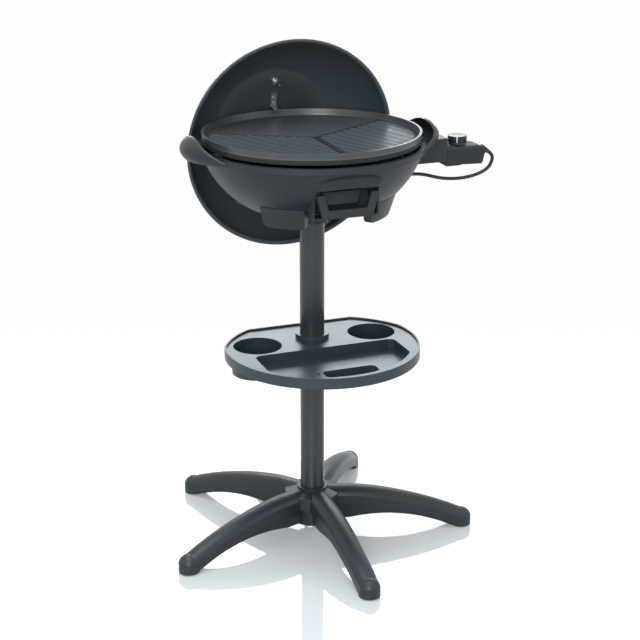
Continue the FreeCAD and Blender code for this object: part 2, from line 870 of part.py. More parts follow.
def make_tray():
    """Tray with a raised rim, an open underside, two cups, a wide recess and a front slot."""
    top, under = d.tray_rim_top, d.tray_rim_top - d.tray_rim_height
    deck = top - d.tray_lip
    ceiling = deck - d.tray_deck
    wall = d.tray_wall
    plate = prism("tray_blank", tray_outline(as_size(0)), under, top)
    upper = prism("tray_upper", tray_outline(wall), deck, top + d.overrun)
    lower = prism("tray_lower", tray_outline(wall), under - d.overrun, ceiling)
    shell = cut("tray_shell", plate, [upper, lower])
    solids, hollows = [shell], []
    for side, name in ((-1, "left"), (1, "right")):
        spot = (d.cup_across * side, -d.cup_behind)
        solids.append(cylinder("cup_wall_" + name, d.cup_radius + wall,
                               spot + (deck - d.cup_depth - wall,), d.cup_depth + wall))
        hollows.append(cylinder("cup_hollow_" + name, d.cup_radius, spot + (deck - d.cup_depth,),
                                d.cup_depth + d.overrun))
    for name, outline, depth, bend in (("well", well_outline, d.well_depth, d.well_round),
                                       ("slot", slot_outline, d.slot_depth, d.slot_round)):
        around_it = prism(name + "_block", outline(wall), deck - depth - wall, deck)
        inside_it = prism(name + "_space", outline(as_size(0)), deck - depth, deck + d.overrun)
        solids.append(rounded(name + "_wall", around_it, bend))
        hollows.append(rounded(name + "_hollow", inside_it, bend))
    bore = d.pole_diameter / 2 + d.fit_gap
    solids.append(cylinder("sleeve_wall", d.tray_sleeve_radius, (0, 0, d.tray_sleeve_under),
                           d.tray_sleeve_top - d.tray_sleeve_under))
    hollows.append(cylinder("sleeve_lower", bore, (0, 0, d.tray_sleeve_under - d.overrun),
                            d.clamp_height - d.tray_sleeve_under + d.overrun))
    hollows.append(cylinder("sleeve_upper", bore, (0, 0, d.clamp_height + d.clamp_web),
                            d.tray_sleeve_top - d.clamp_height))
    hollows.append(cylinder("sleeve_web", d.pole_diameter / 2 - d.pole_wall,
                            (0, 0, d.tray_sleeve_under), d.tray_sleeve_top - d.tray_sleeve_under))
    keep("tray", cut("tray", fuse("tray_form", solids), hollows))


# Bowl and what stands in it

def make_ears():
    """Both side handles: upturned wings of an oval round the bowl, hollow behind."""
    middle = (0, 0, d.ear_height)
    wall, height = d.ear_wall, d.ear_top + d.overrun - d.ear_under
    oval = ellipsoid("ear_oval", d.ear_reach, d.ear_half_length, d.ear_half_height, middle)
    crest = cylinder("ear_crest", d.ear_crest_radius, (-d.ear_reach - d.overrun, 0, d.ear_top - d.ear_crest_radius),
                     (d.ear_reach + d.overrun) * 2, SIDEWAYS)
    band = cylinder("ear_band", d.ear_reach + d.overrun, (0, 0, d.ear_under), height)
    wings = common("ear_wings", [oval, crest, band])
    inner = ellipsoid("ear_inner", d.ear_reach - wall, d.ear_half_length - wall, d.ear_half_height - wall, middle)
    space = common("ear_space", [inner, cylinder("ear_gutter", d.ear_reach + d.overrun, (0, 0, d.ear_under + wall), height)])
    core = cylinder("ear_core", d.bowl_rim_radius - d.bowl_rim_step, (0, 0, d.bowl_rim_top), height)
    return cut("ears", wings, [space, core])


def make_feet():
    """The four table feet: blocks of one ring under the bowl, with rounded corners."""
    half, taper, bend = d.foot_half, d.foot_taper, d.foot_round
    under, top = d.foot_under, d.foot_root + d.overrun
    blocks = []
    for i, bearing in enumerate((d.foot_bearing, 180 - d.foot_bearing, 180 + d.foot_bearing, -d.foot_bearing)):
        face = new_sketch("foot_face_%s" % "abcd"[i], [
            (-half, top), (taper - half, under + bend, bend), (taper + bend - half, under),
            (half - taper - bend, under, bend), (half - taper, under + bend), (half, top)])
        face.Placement = FreeCAD.Placement(V(), around(bearing.value) * around(90) * UPRIGHT)
        blocks.append(extrude("foot_block_%s" % "abcd"[i], face, d.foot_flare + d.overrun))
    return common("feet", [revolve("foot_ring", foot_outline()), fuse("foot_blocks", blocks)])


def foot_outline():
    """Section of a table foot under the bowl."""
    return [(d.foot_inner, d.foot_under), (d.foot_outer, d.foot_under), (d.foot_flare, d.foot_root),
            (d.foot_inner, d.foot_root)]


def bowl_inside():
    """The space inside the bowl."""
    wall = d.bowl_wall
    return [(0, d.bowl_floor + wall), (d.bowl_floor_radius - wall / 2, d.bowl_floor + wall, d.bowl_curve - wall),
            (d.bowl_rim_inner, d.bowl_shoulder), (d.bowl_rim_inner, d.bowl_rim_top + d.overrun * 2),
            (0, d.bowl_rim_top + d.overrun * 2)]


def bowl_inner_radius(height):
    """Radius of the bowl's inner face at a height below its shoulder."""
    low_r, low_z = d.bowl_floor_radius - d.bowl_wall / 2, d.bowl_floor + d.bowl_wall
    across, up = d.bowl_rim_inner - low_r, d.bowl_shoulder - low_z
    radius = d.bowl_curve - d.bowl_wall
    chord = root(across * across + up * up)
    depth = root(radius * radius - chord * chord / 4)
    centre_r = (low_r + d.bowl_rim_inner) / 2 - up / chord * depth
    centre_z = (low_z + d.bowl_shoulder) / 2 + across / chord * depth
    return centre_r + root(radius * radius - (centre_z - height) * (centre_z - height))


def make_bowl():
    """Bowl shell with rim band, table feet, drawer housing, side handles and plate rests."""
    skin = revolve("bowl_skin", [
        (0, d.bowl_floor), (d.bowl_floor_radius, d.bowl_floor, d.bowl_curve),
        (d.bowl_shoulder_radius, d.bowl_shoulder), (d.bowl_rim_radius, d.bowl_shoulder + d.bowl_rim_step),
        (d.bowl_rim_radius, d.bowl_rim_top), (0, d.bowl_rim_top)])
    solids = [skin, make_ears(), make_feet()]
    inside = revolve("bowl_inside", bowl_inside())
    gap = d.slide_gap
    low, high = d.drawer_under - gap, d.drawer_top + d.grip_slot
    half = d.grip_top_half + gap
    housing = box("drawer_housing", (-half - d.housing_wall, -d.housing_front, low - d.housing_wall),
                  (half + d.housing_wall, -d.housing_back, high + d.housing_wall))
    pocket = box("drawer_pocket", (-half, -d.housing_front - d.overrun * 2, low),
                 (half, -d.housing_back - d.housing_wall, high))
    window = box("drawer_window", (-d.drawer_half - gap, -d.housing_front - d.overrun, low),
                 (d.drawer_half + gap, -d.housing_back + d.overrun, d.drawer_top + gap))
    plug_way = box("shroud_way",
                   (d.shroud_start - d.overrun, -d.shroud_half - d.fit_gap, d.shroud_under - d.fit_gap),
                   (d.ear_reach + d.overrun, d.shroud_half + d.fit_gap, d.shroud_top + d.fit_gap))
    middle = (0, -d.scoop_back, d.drawer_top + d.scoop_rise)
    scoop = ellipsoid("finger_scoop", d.scoop_half, d.scoop_depth, d.scoop_half_height, middle)
    wall = d.ear_wall
    backing = common("scoop_backing", [skin, ellipsoid(
        "scoop_outside", d.scoop_half + wall, d.scoop_depth + wall, d.scoop_half_height + wall, middle)])
    emptied = cut("bowl_emptied", fuse("bowl_form", solids), [inside])
    hollow_shell = cut("bowl_hollow", emptied, [plug_way])
    housed = fuse("bowl_housed", [hollow_shell, backing, housing])
    shell = cut("bowl_shell", cut("bowl_scooped", housed, [scoop]), [pocket, window])
    fittings = [shell]
    for i, bearing in enumerate((d.plate_rest_bearing, 180 - d.plate_rest_bearing,
                                 180 + d.plate_rest_bearing, -d.plate_rest_bearing)):
        rest = radial_box("plate_rest_%s" % "abcd"[i], bearing.value,
                          d.plate_foot_radius - d.plate_rest_width / 2, d.bowl_rim_radius - d.bowl_rim_step,
                          d.plate_rest_width / 2, d.bowl_rim_top - d.bowl_rim_step, d.plate_under)
        fittings.append(rest)
    floor = d.bowl_floor + d.bowl_wall
    for side, name in ((-1, "left"), (1, "right")):
        near = d.drawer_half + gap
        far = near + d.rail_width
        low_x, high_x = (near - d.rail_width * 2, far) if side > 0 else (-far, -near + d.rail_width * 2)
        fittings.append(box("rail_bed_" + name, (low_x, -d.rail_front, floor - d.bowl_wall / 2),
                            (high_x, d.drawer_back, d.drawer_under - gap)))
        low_x, high_x = (near, far) if side > 0 else (-far, -near)
        fittings.append(box("rail_guide_" + name, (low_x, -d.rail_front, floor),
                            (high_x, d.drawer_back, d.drawer_under + d.rail_height)))
    holes = []
    for i, bearing in enumerate((45, 135, 225, 315)):
        post = cylinder("screw_post_%s" % "abcd"[i], d.mount_boss_half, (0, 0, 0), d.mount_screw_reach - d.mount_flange)
        fittings.append(at_leg(post, bearing, d.mount_screw_circle, as_size(0), d.bowl_floor))
        hole = cylinder("screw_way_%s" % "abcd"[i], d.screw_shank + d.fit_gap, (0, 0, 0),
                        d.mount_screw_reach - d.mount_flange - d.pole_wall + d.overrun)
        holes.append(at_leg(hole, bearing, d.mount_screw_circle, as_size(0), d.bowl_floor - d.overrun))
    keep("bowl", cut("bowl", fuse("bowl_fitted", fittings), holes))


def make_mount():
    """Socket under the bowl that stands on the pole, and its screws."""
    bore = d.pole_diameter / 2 + d.fit_gap
    flange = d.bowl_floor - d.mount_flange
    blank = revolve("mount_blank", [
        (bore, d.mount_under), (d.mount_boss_radius, d.mount_under), (d.mount_boss_radius, flange),
        (d.mount_flange_radius, flange), (d.mount_flange_radius, d.bowl_floor), (0, d.bowl_floor),
        (0, flange), (bore, flange)])
    holes, screws = [], []
    for i, bearing in enumerate((45, 135, 225, 315)):
        hole = cylinder("mount_hole_%s" % "abcd"[i], d.screw_shank + d.fit_gap, (0, 0, 0), d.overrun)
        holes.append(at_leg(hole, bearing, d.mount_screw_circle, as_size(0), flange - d.overrun / 2))
        head = cylinder("mount_head_%s" % "abcd"[i], d.screw_head, (0, 0, 0), d.screw_head_height)
        at_leg(head, bearing, d.mount_screw_circle, as_size(0), flange - d.screw_head_height)
        shank = cylinder("mount_shank_%s" % "abcd"[i], d.screw_shank, (0, 0, 0),
                         d.mount_screw_reach - d.pole_wall - d.fit_gap * 2)
        at_leg(shank, bearing, d.mount_screw_circle, as_size(0), flange)
        screws.append(fuse("mount_screw_%s" % "abcd"[i], [head, shank]))
    keep("bowl_mount", cut("bowl_mount", blank, holes))
    keep("mount_screws", group("mount_screws", screws))


def make_drawer():
    """Grease drawer: an open tray, and in front of it a grip frame with a trapezoid opening."""
    low, top = d.drawer_under, d.drawer_top
    wall, front = d.drawer_wall, -d.drawer_front + d.grip_gap
    pan = box("drawer_pan", (-d.drawer_half, front, low), (d.drawer_half, d.drawer_back, top))
    hollow = box("drawer_hollow", (-d.drawer_half + wall, front + wall, low + wall),
                 (d.drawer_half - wall, d.drawer_back - wall, top + d.overrun))
    tray_part = cut("drawer_tray", pan, [hollow])
    foot, head, arm, bend = d.grip_foot_half, d.grip_top_half, d.grip_wall, d.grip_round
    sill = low + d.grip_foot
    frame = new_sketch("grip_face", [
        (bend - foot, low), (foot - bend, low, bend), (foot, low + bend), (head, top), (head - arm, top),
        (foot - arm, sill), (arm - foot, sill), (arm - head, top), (-head, top), (-foot, low + bend, bend)])
    frame.Placement = FreeCAD.Placement(V(), UPRIGHT)
    bind(frame, ".Placement.Base.y", -d.drawer_front)
    face = extrude("grip_frame", frame, d.drawer_grip)
    shelf = box("grip_shelf", (bend - foot, -d.drawer_front, low), (foot - bend, front + wall, low + wall * 2))
    panel = make_drawer_panel(front + wall / 2)
    keep("drip_drawer", fuse("drip_drawer", [tray_part, face, shelf, panel]))


def make_drawer_panel(back):
    """Sloping panel on the drawer's front, narrower at its foot."""
    under, top = d.drawer_under + d.panel_under, d.drawer_under + d.panel_top
    half, foot, bend = d.panel_half, d.panel_foot_half, d.panel_round
    side = new_sketch("panel_side", [
        (back - d.panel_depth, under), (back, under), (back, top), (back - d.panel_depth + d.panel_slope, top)])
    place(side, -half, turn=around(90) * UPRIGHT)
    face = new_sketch("panel_face", [
        (bend - foot, under), (foot - bend, under, bend), (foot, under + bend), (half, top), (-half, top),
        (-foot, under + bend, bend)])
    place(face, 0, back + d.overrun, turn=UPRIGHT)
    return common("drawer_panel", [extrude("panel_wide", side, half * 2),
                                   extrude("panel_deep", face, d.panel_depth + d.overrun * 2)])


def make_reflector():
    """Reflector pan under the element, with its drain hole and the gap for the element's legs."""
    sheet_top = d.pan_height + d.pan_sheet
    lip_top = d.pan_height + d.pan_lip_rise
    lip = bowl_inner_radius(lip_top) - d.slide_gap
    pan = revolve("pan_blank", [
        (d.pan_hole, d.pan_height), (d.pan_flat, d.pan_height), (lip, lip_top), (lip - d.pan_sheet, lip_top),
        (d.pan_flat - d.pan_sheet, sheet_top), (d.pan_hole, sheet_top)])
    half = d.shroud_half + d.slide_gap
    notch = box("pan_notch", (d.shroud_start - d.slide_gap, -half, d.pan_height - d.overrun),
                (lip + d.overrun, half, d.pan_height + d.overrun * 2))
    front = box("pan_front_notch", (-d.scoop_half, -lip - d.overrun, d.pan_height - d.overrun),
                (d.scoop_half, -d.pan_front, d.pan_height + d.overrun * 2))
    keep("heat_shield", cut("heat_shield", pan, [notch, front]))


def make_element():
    """Tubular heating loop that lies on the reflector, and its two terminal pins."""
    height = d.terminal_height
    ring = d.element_ring
    opening = math.degrees(math.asin(SIZES["element_spread"] / SIZES["element_ring"]))
    loop = doc.addObject("Part::Torus", "element_loop")
    bind(loop, "Radius1", ring)
    bind(loop, "Radius2", d.element_tube)
    loop.Angle3 = 360 - opening * 2
    place(loop, 0, 0, height, around(opening))
    start = root(ring * ring - d.element_spread * d.element_spread)
    pieces, pins = [loop], []
    for side, name in ((-1, "front"), (1, "back")):
        spot = (start, d.element_spread * side, height)
        pieces.append(ball("element_bend_" + name, d.element_tube, spot))
        pieces.append(cylinder("element_leg_" + name, d.element_tube, spot, d.pin_start - start, SIDEWAYS))
        pins.append(cylinder("pin_" + name, d.pin_radius, (d.pin_start, d.element_spread * side, height),
                             d.pin_end - d.pin_start, SIDEWAYS))
    keep("heating_element", fuse("heating_element", pieces))
    keep("terminal_pins", group("terminal_pins", pins))
    return height


def make_shroud(height):
    """Guard round the terminal pins, open towards the thermostat."""
    wall = d.shroud_wall
    block = box("shroud_block", (d.shroud_start, -d.shroud_half, d.shroud_under),
                (d.shroud_end, d.shroud_half, d.shroud_top))
    hollow = box("shroud_hollow", (d.shroud_start + wall, -d.shroud_half + wall, d.shroud_under + wall),
                 (d.shroud_end + d.overrun, d.shroud_half - wall, d.shroud_top - wall))
    holes = [hollow]
    for side, name in ((-1, "front"), (1, "back")):
        holes.append(cylinder("shroud_hole_" + name, d.pin_radius + d.fit_gap,
                              (d.shroud_start - d.overrun, d.element_spread * side, height),
                              d.overrun * 2, SIDEWAYS))
    holes.append(cylinder("shroud_probe_hole", d.probe_radius + d.slide_gap,
                          (d.shroud_start - d.overrun, 0, d.probe_height), d.overrun * 2, SIDEWAYS))
    keep("terminal_shroud", cut("terminal_shroud", block, holes))


def rib_rows():
    """Ribs of the two front thirds, as rows of start and end across the plate."""
    inner = SIZES["plate_radius"] - SIZES["plate_rim"] - SIZES["rib_margin"]
    slope = 1 / math.tan(math.radians(SIZES["channel_turn"]))
    rows = []
    count = int(inner / SIZES["rib_pitch"])
    for i in range(-count, count):
        y = SIZES["rib_pitch"] * (i + 0.5)
        reach = inner * inner - (abs(y) + SIZES["rib_width"]) ** 2
        beside = SIZES["channel_width"]
        behind = (y + SIZES["channel_centre"]) * slope + SIZES["channel_width"] * 2
        start = max(beside, behind)
        if reach > 0 and math.sqrt(reach) - start > SIZES["rib_pitch"]:
            rows.append((start, math.sqrt(reach), y))
    return rows


def make_plate():
    """Cast grill plate: raised rim, three fields parted by channels, ribs on the two front fields."""
    rim = d.plate_radius - d.plate_rim
    blank = revolve("plate_blank", [
        (0, d.plate_under), (d.plate_foot_radius, d.plate_under), (d.plate_radius, d.plate_rim_top),
        (rim, d.plate_rim_top), (rim - d.plate_rim / 2, d.plate_floor), (0, d.plate_floor)])
    outlines = []
    half = d.rib_width / 2
    for start, end, y in rib_rows():
        for side in (-1, 1):
            near, far = sorted((start * side, end * side))
            outlines.append([(near, y - half.value), (far, y - half.value), (far, y + half.value),
                             (near, y + half.value)])
    plan = doc.addObject("Sketcher::SketchObject", "rib_plan")
    for points in outlines:
        corners = [V(x, y, 0) for x, y in points]
        for i, corner in enumerate(corners):
            plan.addGeometry(Part.LineSegment(corner, corners[(i + 1) % len(corners)]), False)
    place(plan, z=d.plate_floor - d.channel_depth)
    ribs = extrude("plate_ribs", plan, d.channel_depth + d.rib_height)
    cuts = []
    for i, bearing in enumerate((-90, SIZES["channel_turn"], 180 - SIZES["channel_turn"])):
        channel = doc.addObject("Part::Box", "channel_%s" % "abc"[i])
        bind(channel, "Length", d.channel_reach - d.channel_centre)
        bind(channel, "Width", d.channel_width)
        bind(channel, "Height", d.channel_depth + d.overrun)
        turn = math.radians(bearing)
        place(channel, d.channel_width / 2 * math.sin(turn),
              -d.channel_centre - d.channel_width / 2 * math.cos(turn),
              d.plate_floor - d.channel_depth, around(bearing))
        cuts.append(channel)
    cuts.append(cylinder("drain", d.drain_radius, (0, -d.drain_reach, d.plate_under - d.overrun), d.overrun * 3))
    keep("grill_plate", cut("grill_plate", fuse("plate_ribbed", [blank, ribs]), cuts))


# Thermostat

def make_thermostat(height):
    """Plug-in thermostat: lower shell with the contact collar, upper shell, feeler rod and screws."""
    start, end, half = d.thermostat_start, d.thermostat_end, d.thermostat_half
    split, top, under = d.thermostat_split, d.thermostat_top, d.thermostat_under
    nose, chin, edge = d.thermostat_nose, d.thermostat_chin, d.thermostat_edge
    fall = top - split - nose / 2
    brow = (nose * nose + fall * fall) / (fall * 2)
    side = new_sketch("cover_side", [
        (start, split), (end - nose / 4, split), (end, split + nose / 2, brow), (end - nose, top), (start, top)])
    face = new_sketch("cover_face", [
        (-half, split), (half, split), (half, top - edge, edge), (half - edge, top), (edge - half, top, edge),
        (-half, top - edge)])
    cover = crossed("cover_case", side, half * 2, face, start, end - start)
    side = new_sketch("base_side", [
        (start, under), (start + chin, under), (start + chin + nose / 4, under + nose / 10),
        (end - nose / 2, under), (end - nose / 2 + nose / 8, under + nose / 4),
        (end - nose / 4, split), (start, split)])
    edge = edge / 2
    face = new_sketch("base_face", [
        (-half, split), (-half, under + edge, edge), (edge - half, under), (half - edge, under, edge),
        (half, under + edge), (half, split)])
    base = crossed("base_case", side, half * 2, face, start, end - start)
    collar = box("contact_collar", (d.collar_start, -d.collar_half, d.collar_under), (start, d.collar_half, split))
    collar_top = box("contact_collar_top", (d.collar_start, -d.collar_half, split), (start, d.collar_half, d.collar_top))
    base_cuts, cover_cuts, screws = [], [], []
    for side, name in ((-1, "front"), (1, "back")):
        cover_cuts.append(cylinder("contact_" + name, d.pin_radius + d.slide_gap,
                                   (d.collar_start - d.overrun, d.element_spread * side, height),
                                   d.overrun + d.contact_depth, SIDEWAYS))
    cover_cuts.append(cylinder("probe_seat", d.probe_radius + d.fit_gap, (d.collar_start - d.overrun, 0, d.probe_height),
                               d.overrun + start - d.collar_start, SIDEWAYS))
    spindle_hole = cylinder("spindle_way", d.spindle_radius + d.running_gap,
                            (d.knob_across, 0, top - d.spindle_depth - d.fit_gap), d.overrun * 2)
    cover_cuts.append(spindle_hole)
    inset = d.housing_screw_inset
    for i, (x, side) in enumerate(((start + inset, -1), (start + inset, 1), (end - inset * 2, -1), (end - inset * 2, 1))):
        spot = (x, (half - inset / 2) * side)
        seat = under + d.housing_screw_depth / 2
        base_cuts.append(cylinder("case_bore_%s" % "abcd"[i], d.housing_screw_head + d.fit_gap,
                                  spot + (under - d.overrun,), d.overrun + seat - under))
        base_cuts.append(cylinder("case_hole_%s" % "abcd"[i], d.housing_screw_head / 2 + d.fit_gap, spot + (under,), d.overrun))
        cover_cuts.append(cylinder("case_pilot_%s" % "abcd"[i], d.housing_screw_head / 2 + d.fit_gap,
                                   spot + (split - d.overrun,), d.overrun + d.housing_screw_depth / 2 + d.fit_gap))
        head = cylinder("case_head_%s" % "abcd"[i], d.housing_screw_head, spot + (seat - d.housing_screw_head / 2,),
                        d.housing_screw_head / 2)
        shank = cylinder("case_shank_%s" % "abcd"[i], d.housing_screw_head / 2, spot + (seat,),
                         split + d.housing_screw_depth / 2 - seat)
        screws.append(fuse("case_screw_%s" % "abcd"[i], [head, shank]))
    keep("thermostat_base", cut("thermostat_base", fuse("base_form", [base, collar]), base_cuts))
    keep("thermostat_cover", cut("thermostat_cover", fuse("cover_form", [cover, collar_top]), cover_cuts))
    keep("housing_screws", group("housing_screws", screws))
    rod = cylinder("probe_rod", d.probe_radius, (d.probe_start, 0, d.probe_height),
                   start - d.fit_gap - d.probe_start, SIDEWAYS)
    tip = ball("probe_tip", d.probe_radius, (d.probe_start, 0, d.probe_height))
    keep("thermostat_probe", fuse("thermostat_probe", [rod, tip]))
    return cover, base


def make_knob():
    """Temperature knob, its silver cap and the spindle under it."""
    under = d.thermostat_top + d.knob_lift
    top = under + d.knob_height
    seat = top - d.knob_cap_height
    spot = FreeCAD.Placement(V(d.knob_across.value, 0, 0), NO_TURN)
    keep("knob", turned("knob", [
        (d.spindle_radius + d.fit_gap, under), (d.knob_radius, under), (d.knob_radius - d.knob_wall / 6, top),
        (d.knob_cap_radius + d.fit_gap, top), (d.knob_cap_radius + d.fit_gap, seat),
        (d.spindle_radius + d.fit_gap, seat)]), spot)
    dish = (d.knob_cap_radius * d.knob_cap_radius + d.knob_dish * d.knob_dish) / (d.knob_dish * 2)
    keep("knob_cap", turned("knob_cap", [
        (0, seat), (d.knob_cap_radius, seat), (d.knob_cap_radius, top, -dish), (0, top - d.knob_dish)]), spot)
    keep("knob_spindle", turned("knob_spindle", [
        (0, d.thermostat_top - d.spindle_depth), (d.spindle_radius, d.thermostat_top - d.spindle_depth),
        (d.spindle_radius, seat), (0, seat)]), spot)


# Lid, made in its own frame: Z through the dome, Y towards the floor

def lid_frame():
    """Where the hung lid's rim is, and how it leans."""
    turn = FreeCAD.Rotation(V(1, 0, 0), SIZES["lid_lean"] - 90)
    return FreeCAD.Placement(V(0, d.lid_back.value, d.lid_height.value), turn)


def lid_curve(inset):
    """Points of the dome from its rim to the middle of its disc."""
    return [(d.lid_skirt_radius - inset, d.lid_skirt, d.lid_curve - inset),
            (d.lid_disc_radius - inset / 2, d.lid_depth - inset), (0, d.lid_depth - inset)]


def hook_heights():
    """Height of the strap's underside above the lid's axis, and depth of the plate rim's inner edge."""
    lean = d.lid_lean
    back = d.plate_radius - d.plate_rim - d.lid_back
    rise = d.plate_rim_top - d.lid_height
    up = rise * cosine(lean) - back * sine(lean) + d.hook_lift
    depth = back * cosine(lean) + rise * sine(lean)
    return up, depth


def make_lid():
    """Lid shell with a rolled rim and holes for the handle, the hook and the thermometer."""
    wall = d.lid_sheet
    dome = lid_curve(as_size(0))
    inside = lid_curve(wall)
    inner = [(p[0], p[1]) for p in inside]
    blank = revolve("lid_blank", [
        (d.lid_radius - d.lid_lip, 0), (d.lid_radius, 0), (d.lid_radius, d.lid_lip_height),
        (d.lid_skirt_radius, d.lid_lip_height)] + dome + [
        inner[2], (inner[1][0], inner[1][1], -(d.lid_curve - wall)), inner[0],
        (d.lid_skirt_radius - wall, d.lid_lip_height)])
    up, _ = hook_heights()
    holes = []
    for side, name in ((-1, "left"), (1, "right")):
        holes.append(cylinder("handle_hole_" + name, d.screw_shank + d.fit_gap,
                              (d.handle_half * side, 0, d.lid_depth - d.overrun), d.overrun * 2))
    for i in range(2):
        holes.append(cylinder("rivet_hole_%s" % "ab"[i], d.rivet_radius + d.fit_gap,
                              (0, -(up + d.hook_back * (i + 1) / 3), d.lid_depth - d.overrun), d.overrun * 2))
    holes.append(cylinder("gauge_hole", d.stem_radius + d.fit_gap, (0, -d.gauge_up, d.lid_depth - d.overrun),
                          d.overrun * 2))
    keep("lid_shell", cut("lid_shell", blank, holes), lid_frame())


def make_lid_handle():
    """Bar handle on two posts outside the dome, and the screws that hold it."""
    height = d.lid_depth + d.handle_rise
    posts, pilots, screws = [], [], []
    for side, name in ((-1, "left"), (1, "right")):
        spot = (d.handle_half * side, 0)
        posts.append(cylinder("handle_post_" + name, d.handle_post, spot + (d.lid_depth,), d.handle_rise))
        posts.append(ball("handle_end_" + name, d.handle_grip, ((d.handle_half + d.handle_overhang) * side, 0, height)))
        pilots.append(cylinder("handle_pilot_" + name, d.screw_shank + d.fit_gap, spot + (d.lid_depth - d.overrun,),
                               d.overrun + d.handle_rise / 2 + d.fit_gap))
        head = cylinder("handle_head_" + name, d.screw_head, spot + (d.lid_depth - d.lid_sheet - d.screw_head_height,),
                        d.screw_head_height)
        shank = cylinder("handle_shank_" + name, d.screw_shank, spot + (d.lid_depth - d.lid_sheet,),
                         d.lid_sheet + d.handle_rise / 2)
        screws.append(fuse("handle_screw_" + name, [head, shank]))
    reach = d.handle_half + d.handle_overhang
    posts.append(cylinder("handle_bar", d.handle_grip, (-reach, 0, height), reach * 2, SIDEWAYS))
    keep("lid_handle", cut("lid_handle", fuse("handle_form", posts), pilots), lid_frame())
    keep("handle_screws", group("handle_screws", screws), lid_frame())


def make_hook():
    """The hook as a bent strap in the lid's frame, drilled for its rivets."""
    up, depth = hook_heights()
    thick, half = d.hook_sheet, d.hook_width / 2
    back = d.lid_depth - d.lid_sheet
    front = depth - d.hook_gap - thick
    plate = box("hook_plate", (-half, -(up + d.hook_back), back - thick), (half, -up, back))
    strap = box("hook_strap", (-half, -(up + thick), front), (half, -up, back))
    lip = box("hook_lip_plate", (-half, -(up + thick), front), (half, -(up - d.hook_lip), front + thick))
    holes, rivets = [], []
    for i in range(2):
        height = up + d.hook_back * (i + 1) / 3
        holes.append(cylinder("hook_hole_%s" % "ab"[i], d.rivet_radius + d.fit_gap, (0, -height, back - d.overrun),
                              d.overrun * 2))
        stem = cylinder("rivet_stem_%s" % "ab"[i], d.rivet_radius, (0, -height, back - thick), thick + d.lid_sheet)
        low = cylinder("rivet_low_%s" % "ab"[i], d.rivet_head, (0, -height, back - thick - d.rivet_head_height),
                       d.rivet_head_height)
        high = cylinder("rivet_high_%s" % "ab"[i], d.rivet_head, (0, -height, d.lid_depth), d.rivet_head_height)
        rivets.append(fuse("rivet_%s" % "ab"[i], [stem, low, high]))
    keep("lid_hook", cut("lid_hook", fuse("hook_form", [plate, strap, lip]), holes), lid_frame())
    keep("hook_rivets", group("hook_rivets", rivets), lid_frame())


def gauge_frame():
    """Middle of the thermometer on the dome's outer face."""
    spot = FreeCAD.Placement(V(0, -SIZES["gauge_up"], SIZES["lid_depth"]), NO_TURN)
    return lid_frame().multiply(spot)


def make_thermometer():
    """Thermometer in the lid: case, dial, needle on its pivot, glass, stem and nut."""
    wall, radius, height = d.gauge_wall, d.gauge_radius, d.gauge_height
    inner = radius - wall
    frame = gauge_frame()
    keep("thermometer_case", turned("thermometer_case", [
        (0, 0), (radius - wall / 2, 0), (radius, height), (inner, height), (inner, wall), (d.gauge_pivot, wall),
        (d.gauge_pivot, wall + d.gauge_pivot_height), (0, wall + d.gauge_pivot_height)]), frame)
    dial_top = wall + d.gauge_dial
    keep("thermometer_dial", turned("thermometer_dial", [
        (d.gauge_pivot + d.fit_gap, wall), (inner - d.fit_gap, wall), (inner - d.fit_gap, dial_top),
        (d.gauge_pivot + d.fit_gap, dial_top)]), frame)
    under = dial_top + d.needle_sheet
    hub = cylinder("needle_hub_disc", d.needle_hub, (0, 0, under), d.needle_sheet)
    arm = box("needle_arm", (-d.needle_width / 2, 0, under), (d.needle_width / 2, d.needle_length, under + d.needle_sheet))
    bore = cylinder("needle_bore", d.gauge_pivot + d.running_gap, (0, 0, 0), d.overrun)
    keep("thermometer_needle", cut("thermometer_needle", fuse("needle_form", [hub, arm]), [bore]), frame)
    glass = height - d.gauge_glass - d.gauge_dial
    keep("thermometer_glass", turned("thermometer_glass", [
        (0, glass), (inner - d.fit_gap, glass), (inner - d.fit_gap, glass + d.gauge_glass),
        (0, glass + d.gauge_glass)]), frame)
    stem_end = -(d.lid_sheet + d.stem_length)
    keep("thermometer_stem", turned("thermometer_stem", [
        (0, stem_end), (d.stem_radius / 2, stem_end), (d.stem_radius, stem_end + d.stem_radius),
        (d.stem_radius, 0), (0, 0)]), frame)
    nut = doc.addObject("Part::Prism", "nut_blank")
    nut.Polygon = 6
    bind(nut, "Circumradius", d.nut_across / math.sqrt(3))
    bind(nut, "Height", d.nut_height)
    place(nut, 0, 0, -(d.lid_sheet + d.nut_height))
    nut_bore = cylinder("nut_bore", d.stem_radius + d.fit_gap, (0, 0, -d.overrun), d.overrun)
    keep("thermometer_nut", cut("thermometer_nut", nut, [nut_bore]), frame)


# Mains cord

def cord_path(points):
    """Straight runs joined by tangent arcs, each arc as large as its shorter run allows."""
    spots = [V(p) for p in points]
    edges, radii = [], []
    last = spots[0]
    for before, corner, after in zip(spots, spots[1:], spots[2:]):
        run_in, run_out = corner - before, after - corner
        turn = run_in.getAngle(run_out)
        reach = CORD_ARC_SHARE * min(run_in.Length, run_out.Length)
        radii.append(reach / math.tan(turn / 2))
        into = corner - run_in.normalize() * reach
        out = corner + run_out.normalize() * reach
        middle = (into + out) * 0.5
        centre = corner + (middle - corner).normalize() * math.hypot(reach, radii[-1])
        crest = centre + (corner - centre).normalize() * radii[-1]
        edges.append(Part.LineSegment(last, into).toShape())
        edges.append(Part.Arc(into, crest, out).toShape())
        last = out
    edges.append(Part.LineSegment(last, spots[-1]).toShape())
    return Part.Wire(edges), radii


